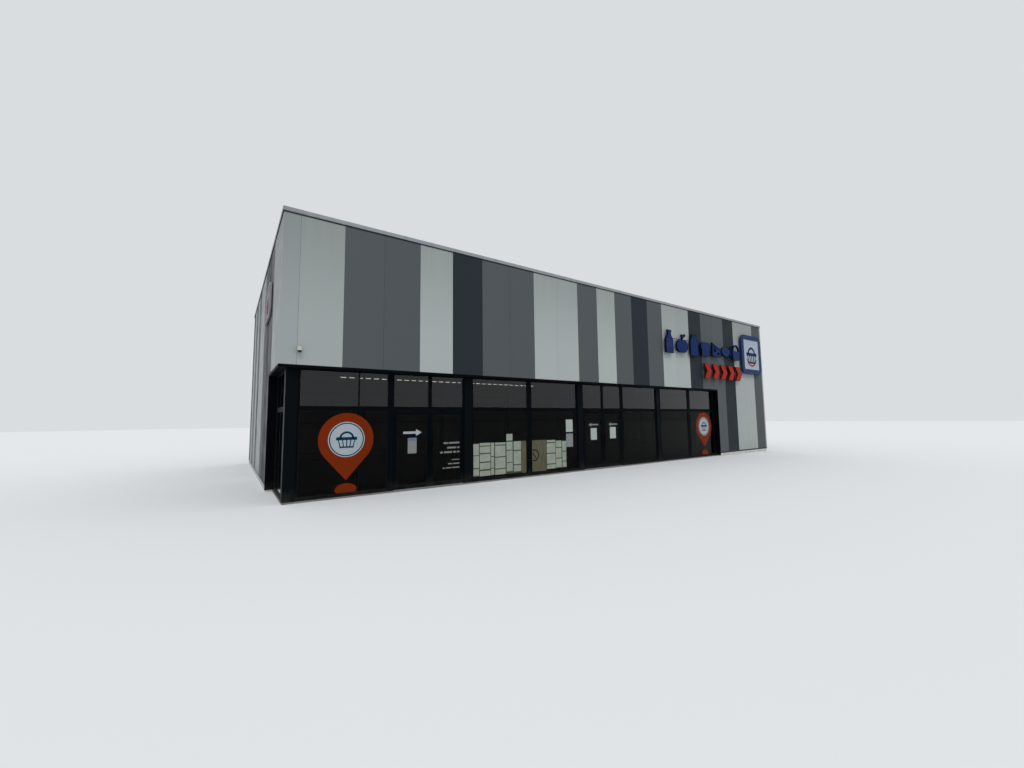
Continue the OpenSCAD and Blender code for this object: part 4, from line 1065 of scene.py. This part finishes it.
def hang(name, material, sheets, depth, **ride):
    """Makes one piece of some sheets of paper or film at a depth."""
    build(name, material, add_outline, [
        ([(u0, z0), (u1, z0), (u1, z1), (u0, z1)], depth, FILM) for u0, u1, z0, z1 in sheets],
        slot="white_plastic", **ride)


def outer_face(door):
    """The depth of the outer face of a door's glass."""
    return leaf_parts(door)[1][0].y


hang("window_sheets", PAPER, [(left, right, foot, top) for left, right, *rows in SHEETS
                              for top, foot in rows], PANE - FILM)
hang("brown_boards", KRAFT, BOARDS, PANE)
hang("sheet_backings", BACKING, BACKINGS, PANE)
for i, (*place, material) in enumerate(SINGLE_SHEETS):
    hang(f"single_sheet_{i + 1}", material, [place], PANE)
for door, sheets in DOOR_SHEETS.items():
    for i, (*place, material) in enumerate(sheets):
        hang(f"{door}_sheet_{i + 1}", material, [place], outer_face(door), body=f"{door}_door")

# %% [markdown]
# White film marks the doors with plain arrows, one into the shop and two out of it, and with rows
# of plain bars where a shop gives its hours. The arrows out and the bars are drawn in a grey copy
# of the white film, as painted shade. A dark ring with a bar across it, half behind the frame,
# marks the window between the doors.

# %% Marks of white film
# Each arrow: tail and tip, foot and top. Each row of bars: its middle, its height and where the
# bars start and stop.
ARROWS = {"entry_left": (3.000, 3.526, 1.448, 1.633), "exit_left": (10.482, 9.985, 1.560, 1.715),
          "exit_right": (11.530, 11.050, 1.560, 1.715)}
HOURS = ((1.215, 0.050, (4.185, 4.320, 4.350, 4.704)),
         (1.080, 0.050, (4.300, 4.580, 4.620, 4.720)),
         (0.955, 0.050, (4.080, 4.160, 4.195, 4.450, 4.485, 4.580, 4.610, 4.704)),
         (0.735, 0.024, (4.447, 4.704)), (0.625, 0.036, (4.325, 4.460, 4.490, 4.704)),
         (0.512, 0.034, (4.160, 4.235, 4.265, 4.425, 4.455, 4.712)))


def add_arrow(bm, tail, tip, z0, z1, depth):
    """A plain arrow of film from its tail to its tip."""
    along, middle, high = tip - tail, (z0 + z1) / 2, z1 - z0
    neck, shaft = tip - math.copysign(0.9 * high, along), 0.17 * high
    half = [(tail, shaft), (neck, shaft), (neck, high / 2)]
    add_outline(bm, [(u, middle - side) for u, side in half] + [(tip, middle)]
                + [(u, middle + side) for u, side in reversed(half)], depth, FILM)


# Only the arrow into the shop is white; the others take the white film painted grey as shade
for door, place in ARROWS.items():
    build(f"{door}_arrow", WHITE_FILM if door == "entry_left" else SHADED_WHITE_FILM, add_arrow,
          [(*place, outer_face(door))], body=f"{door}_door", slot="white_plastic")
hang("entry_right_bars", SHADED_WHITE_FILM,
     [(u0, u1, z - high / 2, z + high / 2) for z, high, stops in HOURS
      for u0, u1 in zip(stops[::2], stops[1::2])],
     outer_face("entry_right"), body="entry_right_door")

# %% Ring on the window between the doors
bm = bmesh.new()
add_arc(bm, 7.447, 0.679, 0.158, 0.194, -112, 224, PANE - FILM, FILM, 48)
add_outline(bm, [(7.362, 0.764), (7.400, 0.764), (7.555, 0.572), (7.517, 0.572)],
            PANE - FILM, FILM)
settle(bm, "window_ring", DARK_FILM)

# %% [markdown]
# The signs are boxes of folded sheet with a coloured front let into their rim, which leaves the
# sides darker than the face. The CAD bodies have the outer shape. A merged copy of each is taken,
# its front is inset by the rim and pushed in, and the new piece stands for the plain node.

# %% Sign finishes


def sign_face(name, colour, gloss):
    """Acrylic sign face: deep even colour, a little dust and a clear gloss."""
    finish = Finish(name, 60.0, 0.05)
    face = tint(finish.mottle, colour, shade(colour, 0.85, 0.005), 0.3)
    face = finish.stain(face, STREAKS, 6.2, -2.5, 0.08, GRIME_AND_SHADE)
    return finish.done(face, gloss, 0.0001, 0.2)


CLEAR, CLEAN, SATIN, AGED = (0.22, 0.36), (0.25, 0.4), (0.35, 0.5), (0.4, 0.55)
BLUE_FACE = sign_face("blue_sign_face", rgb(2, 33, 84), CLEAR)
BLUE_RETURN = sign_face("blue_sign_side", rgb(3, 18, 46), SATIN)
ORANGE_FACE = sign_face("orange_sign_face", rgb(146, 34, 18), CLEAR)
ORANGE_RETURN = sign_face("orange_sign_side", rgb(86, 17, 7), SATIN)
WHITE_FACE = sign_face("white_sign_face", rgb(152, 163, 174), CLEAN)
NAVY_RIM = sign_face("navy_badge_rim", rgb(26, 48, 86), CLEAN)
# The left badge's colours are muted and darkened as painted shade on the left wall
PALE_RIM = sign_face("pale_badge_rim", rgb(138, 138, 142), AGED)
ROSE_FIELD = sign_face("dimmed_badge_field", rgb(126, 116, 120), AGED)
DIMMED_ORANGE = sign_face("dimmed_orange_bars", rgb(122, 92, 90), AGED)
print("sign finishes ready")

# %% Sign boxes from the frame
TO_FRONT, TO_LEFT = Vector((0, -1, 0)), Vector((-1, 0, 0))
SIGN_RIM, SIGN_SINK = 0.010, 0.006


def sign_copy(node):
    """A merged copy of a node with its flat faces made whole."""
    bm = merged_copy(node)
    bmesh.ops.dissolve_limit(bm, angle_limit=math.radians(1), verts=bm.verts[:],
                             edges=bm.edges[:], delimit=set())
    bm.normal_update()
    return bm


def outermost(bm, outward):
    """The faces that look outward and lie furthest out."""
    reach = max(vert.co.dot(outward) for vert in bm.verts)
    return [face for face in bm.faces if face.normal.dot(outward) > 0.99
            and abs(face.calc_center_median().dot(outward) - reach) < 1e-4]


def let_in(bm, outward, rim, sink, material):
    """Insets the outermost faces by a rim, pushes them in and gives them another material."""
    fronts = outermost(bm, outward)
    bmesh.ops.inset_region(bm, faces=fronts, thickness=rim, use_even_offset=True,
                           use_boundary=True)
    made = draw_out(bm, fronts, -sink * outward)
    bmesh.ops.delete(bm, geom=[face for face in fronts if face.is_valid], context="FACES_ONLY")
    for face in only(BMFace, made):
        face.material_index = material


for node, materials, slot in (("upper_sign", [BLUE_RETURN, BLUE_FACE], "blue_sign"),
                              ("lower_sign", [ORANGE_RETURN, ORANGE_FACE], "orange_sign")):
    bm = sign_copy(node)
    let_in(bm, TO_FRONT, SIGN_RIM, SIGN_SINK, 1)
    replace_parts(settle(bm, f"{node}_boxes", materials, HERE, slot=slot, smooth=25), node)

# %% [markdown]
# A slim dark rail for the wiring runs behind the first three boxes of the upper row, on their
# backs. From the front it shows in the gaps between them.

# %% Wiring rail behind the upper row
RAIL_FOOT, RAIL_HEAD, RAIL_LENGTH = 5.308, 5.332, 1.88
low, high = solids_of("upper_sign")[0]
start = (low.x + high.x) / 2
build("sign_wiring_rail", FRAME_COAT, add_block, [
    ((start, high.y, RAIL_FOOT), (start + RAIL_LENGTH, high.y + 0.012, RAIL_HEAD), 0.002)])
print(f"wiring rail from {start:.2f} to {start + RAIL_LENGTH:.2f} m")

# %% [markdown]
# The badges have rounded corners. The front one is square, with a blue rim round a white field.
# The one on the left wall is low and lies nearly flush, and its colours are muted and darkened as
# painted shade. The same generic basket stands on both fields, in two colours on the front and in
# the same dimmed colours on the left.

# %% Badges
FRONT_RIM, LEFT_RIM, FIELD_IN = 0.24, 0.07, 0.012
bm = sign_copy("badges")
let_in(bm, TO_FRONT, FRONT_RIM, FIELD_IN, 1)
let_in(bm, TO_LEFT, LEFT_RIM, FIELD_IN, 3)
for face in bm.faces:
    if face.material_index == 0 and face.calc_center_median().x < WALL_LOW.x:
        face.material_index = 2
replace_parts(settle(bm, "badge_boxes", [NAVY_RIM, WHITE_FACE, PALE_RIM, ROSE_FIELD], HERE,
                   slot="blue_sign", smooth=25), "badges")

# %% Baskets on the badges
BARS_OUT, ARC_OUT = 0.010, 0.006
# On the left the basket takes the dimmed orange, painted shade
for wall, name, bars, arc, slot in (
        (ON_FRONT, "front", BLUE_FACE, ORANGE_FACE, "blue_sign"),
        (ON_LEFT, "left", DIMMED_ORANGE, DIMMED_ORANGE, "orange_sign")):
    low, high = [box for box in solids_of("badges", wall) if box[1].y - box[0].y < 0.2][0]
    size, field = high.z - low.z, low.y + FIELD_IN
    u, z = (low.x + high.x) / 2, (low.z + high.z) / 2 - 0.03 * size
    build(f"{name}_badge_basket", bars, add_basket, [(u, z, 0.52 * size, field, BARS_OUT)],
          wall, slot=slot)
    build(f"{name}_badge_arc", arc, add_arc, [
        (u, z, 0.235 * size, 0.275 * size, 200, 140, field, ARC_OUT)], wall, slot="orange_sign")

# %% [markdown]
# The signs stand off the wall on spacers. Each spacer ends in a turned washer against the
# cladding, which covers the hole through the coated sheet.

# %% Washers of the spacers
WASHER = [(0.012, 0.004), (0.020, 0.004), (0.024, 0.0015), (0.024, 0.0), (0.012, 0.0),
          (0.012, 0.004)]
washers = []
for low, high in solids_of("sign_spacers", HERE):
    along = TO_LEFT if high.x - low.x > high.y - low.y else TO_FRONT
    foot = (low + high) / 2 + (high - low) * 0.5 * Vector((abs(along.x), abs(along.y), 0))
    washers.append((WASHER, foot, along, 16))
build("spacer_washers", ALUMINIUM, add_turned, washers, HERE, slot="aluminium", smooth=30)

# %% [markdown]
# A small dome camera watches the corner. Its body is white plastic that has yellowed a little,
# and the glossy dark half-ball under it is the cover of the lens. The cover is a quarter circle
# spun round its own axis, a hair larger than the ball of the CAD solid.

# %% Camera body and lens cover


def plastic(name, colour, gloss):
    """Moulded plastic: fine grain and slow yellowing."""
    finish = Finish(name, 700.0, 0.4)
    yellow = (colour[0] * 0.93, colour[1] * 0.9, colour[2] * 0.78, 1.0)
    return finish.done(tint(finish.mottle, colour, yellow, 0.6), gloss, 0.0002, 0.4)


dress(plastic("white_plastic", rgb(174, 178, 171), (0.35, 0.5)), "security_camera")
LENS_COVER = plastic("dark_lens_cover", rgb(14, 15, 18), (0.03, 0.08))
low, high = solids_of("security_camera")[0]
radius = (high.x - low.x) / 2
centre = Vector(((low.x + high.x) / 2, low.y + radius, low.z + 0.85 * radius))
ball = 0.85 * radius + 0.0015
dome = [(ball * math.cos(t), -ball * math.sin(t)) for t in map(math.radians, range(0, 90, 9))]
build("lens_cover", LENS_COVER, add_turned,
      [([(0.0, 0.0)] + dome + [(0.0, -ball)], centre, (0, 0, 1), 32)], smooth=40)

# %% [markdown]
# A row of lamps shines just under the ceiling and shows as white dashes in the upper lights. The
# lamp housings are white sheet. Under each hangs a softly rounded diffuser, the only thing on
# the building that gives light.

# %% Lamps
LAMP_STEP, SIDE_GAP, EDGE_GAP, HANG = 0.3, 0.022, 0.006, 0.016
dress(coated("lamp_housing", rgb(206, 208, 208), top=3.6, streak=0.0), "light_rail")
diffuser = Finish("lamp_diffuser", 40.0, Emission_Strength=5.0)
glow = tint(diffuser.mottle, (1.0, 0.99, 0.97, 1.0), (0.9, 0.9, 0.9, 1.0))
feed(diffuser.shader["Emission Color"], glow)
white = tint(diffuser.mottle, rgb(226, 230, 232), rgb(214, 218, 222))
rail = [box for box in solids_of("light_rail") if box[1].x - box[0].x > 1.0][0]
lamps = merged_copy("light_rail")
spans = {}  # corners of each lamp's foot by the lamp's number
for face in outermost(lamps, Vector((0, 0, -1))):
    for vert in face.verts:
        number = (vert.co.x - WALL_LOW.x - rail[0].x) // LAMP_STEP
        spans.setdefault(number, []).append(vert.co)
build("lamp_diffusers", diffuser.done(white, (0.4, 0.5)), add_block, [
    ((low.x + SIDE_GAP, low.y + EDGE_GAP, low.z - HANG),
     (high.x - SIDE_GAP, high.y - EDGE_GAP, low.z + 0.001), 0.005)
    for low, high in map(corners, spans.values())], HERE, slot="white_plastic")
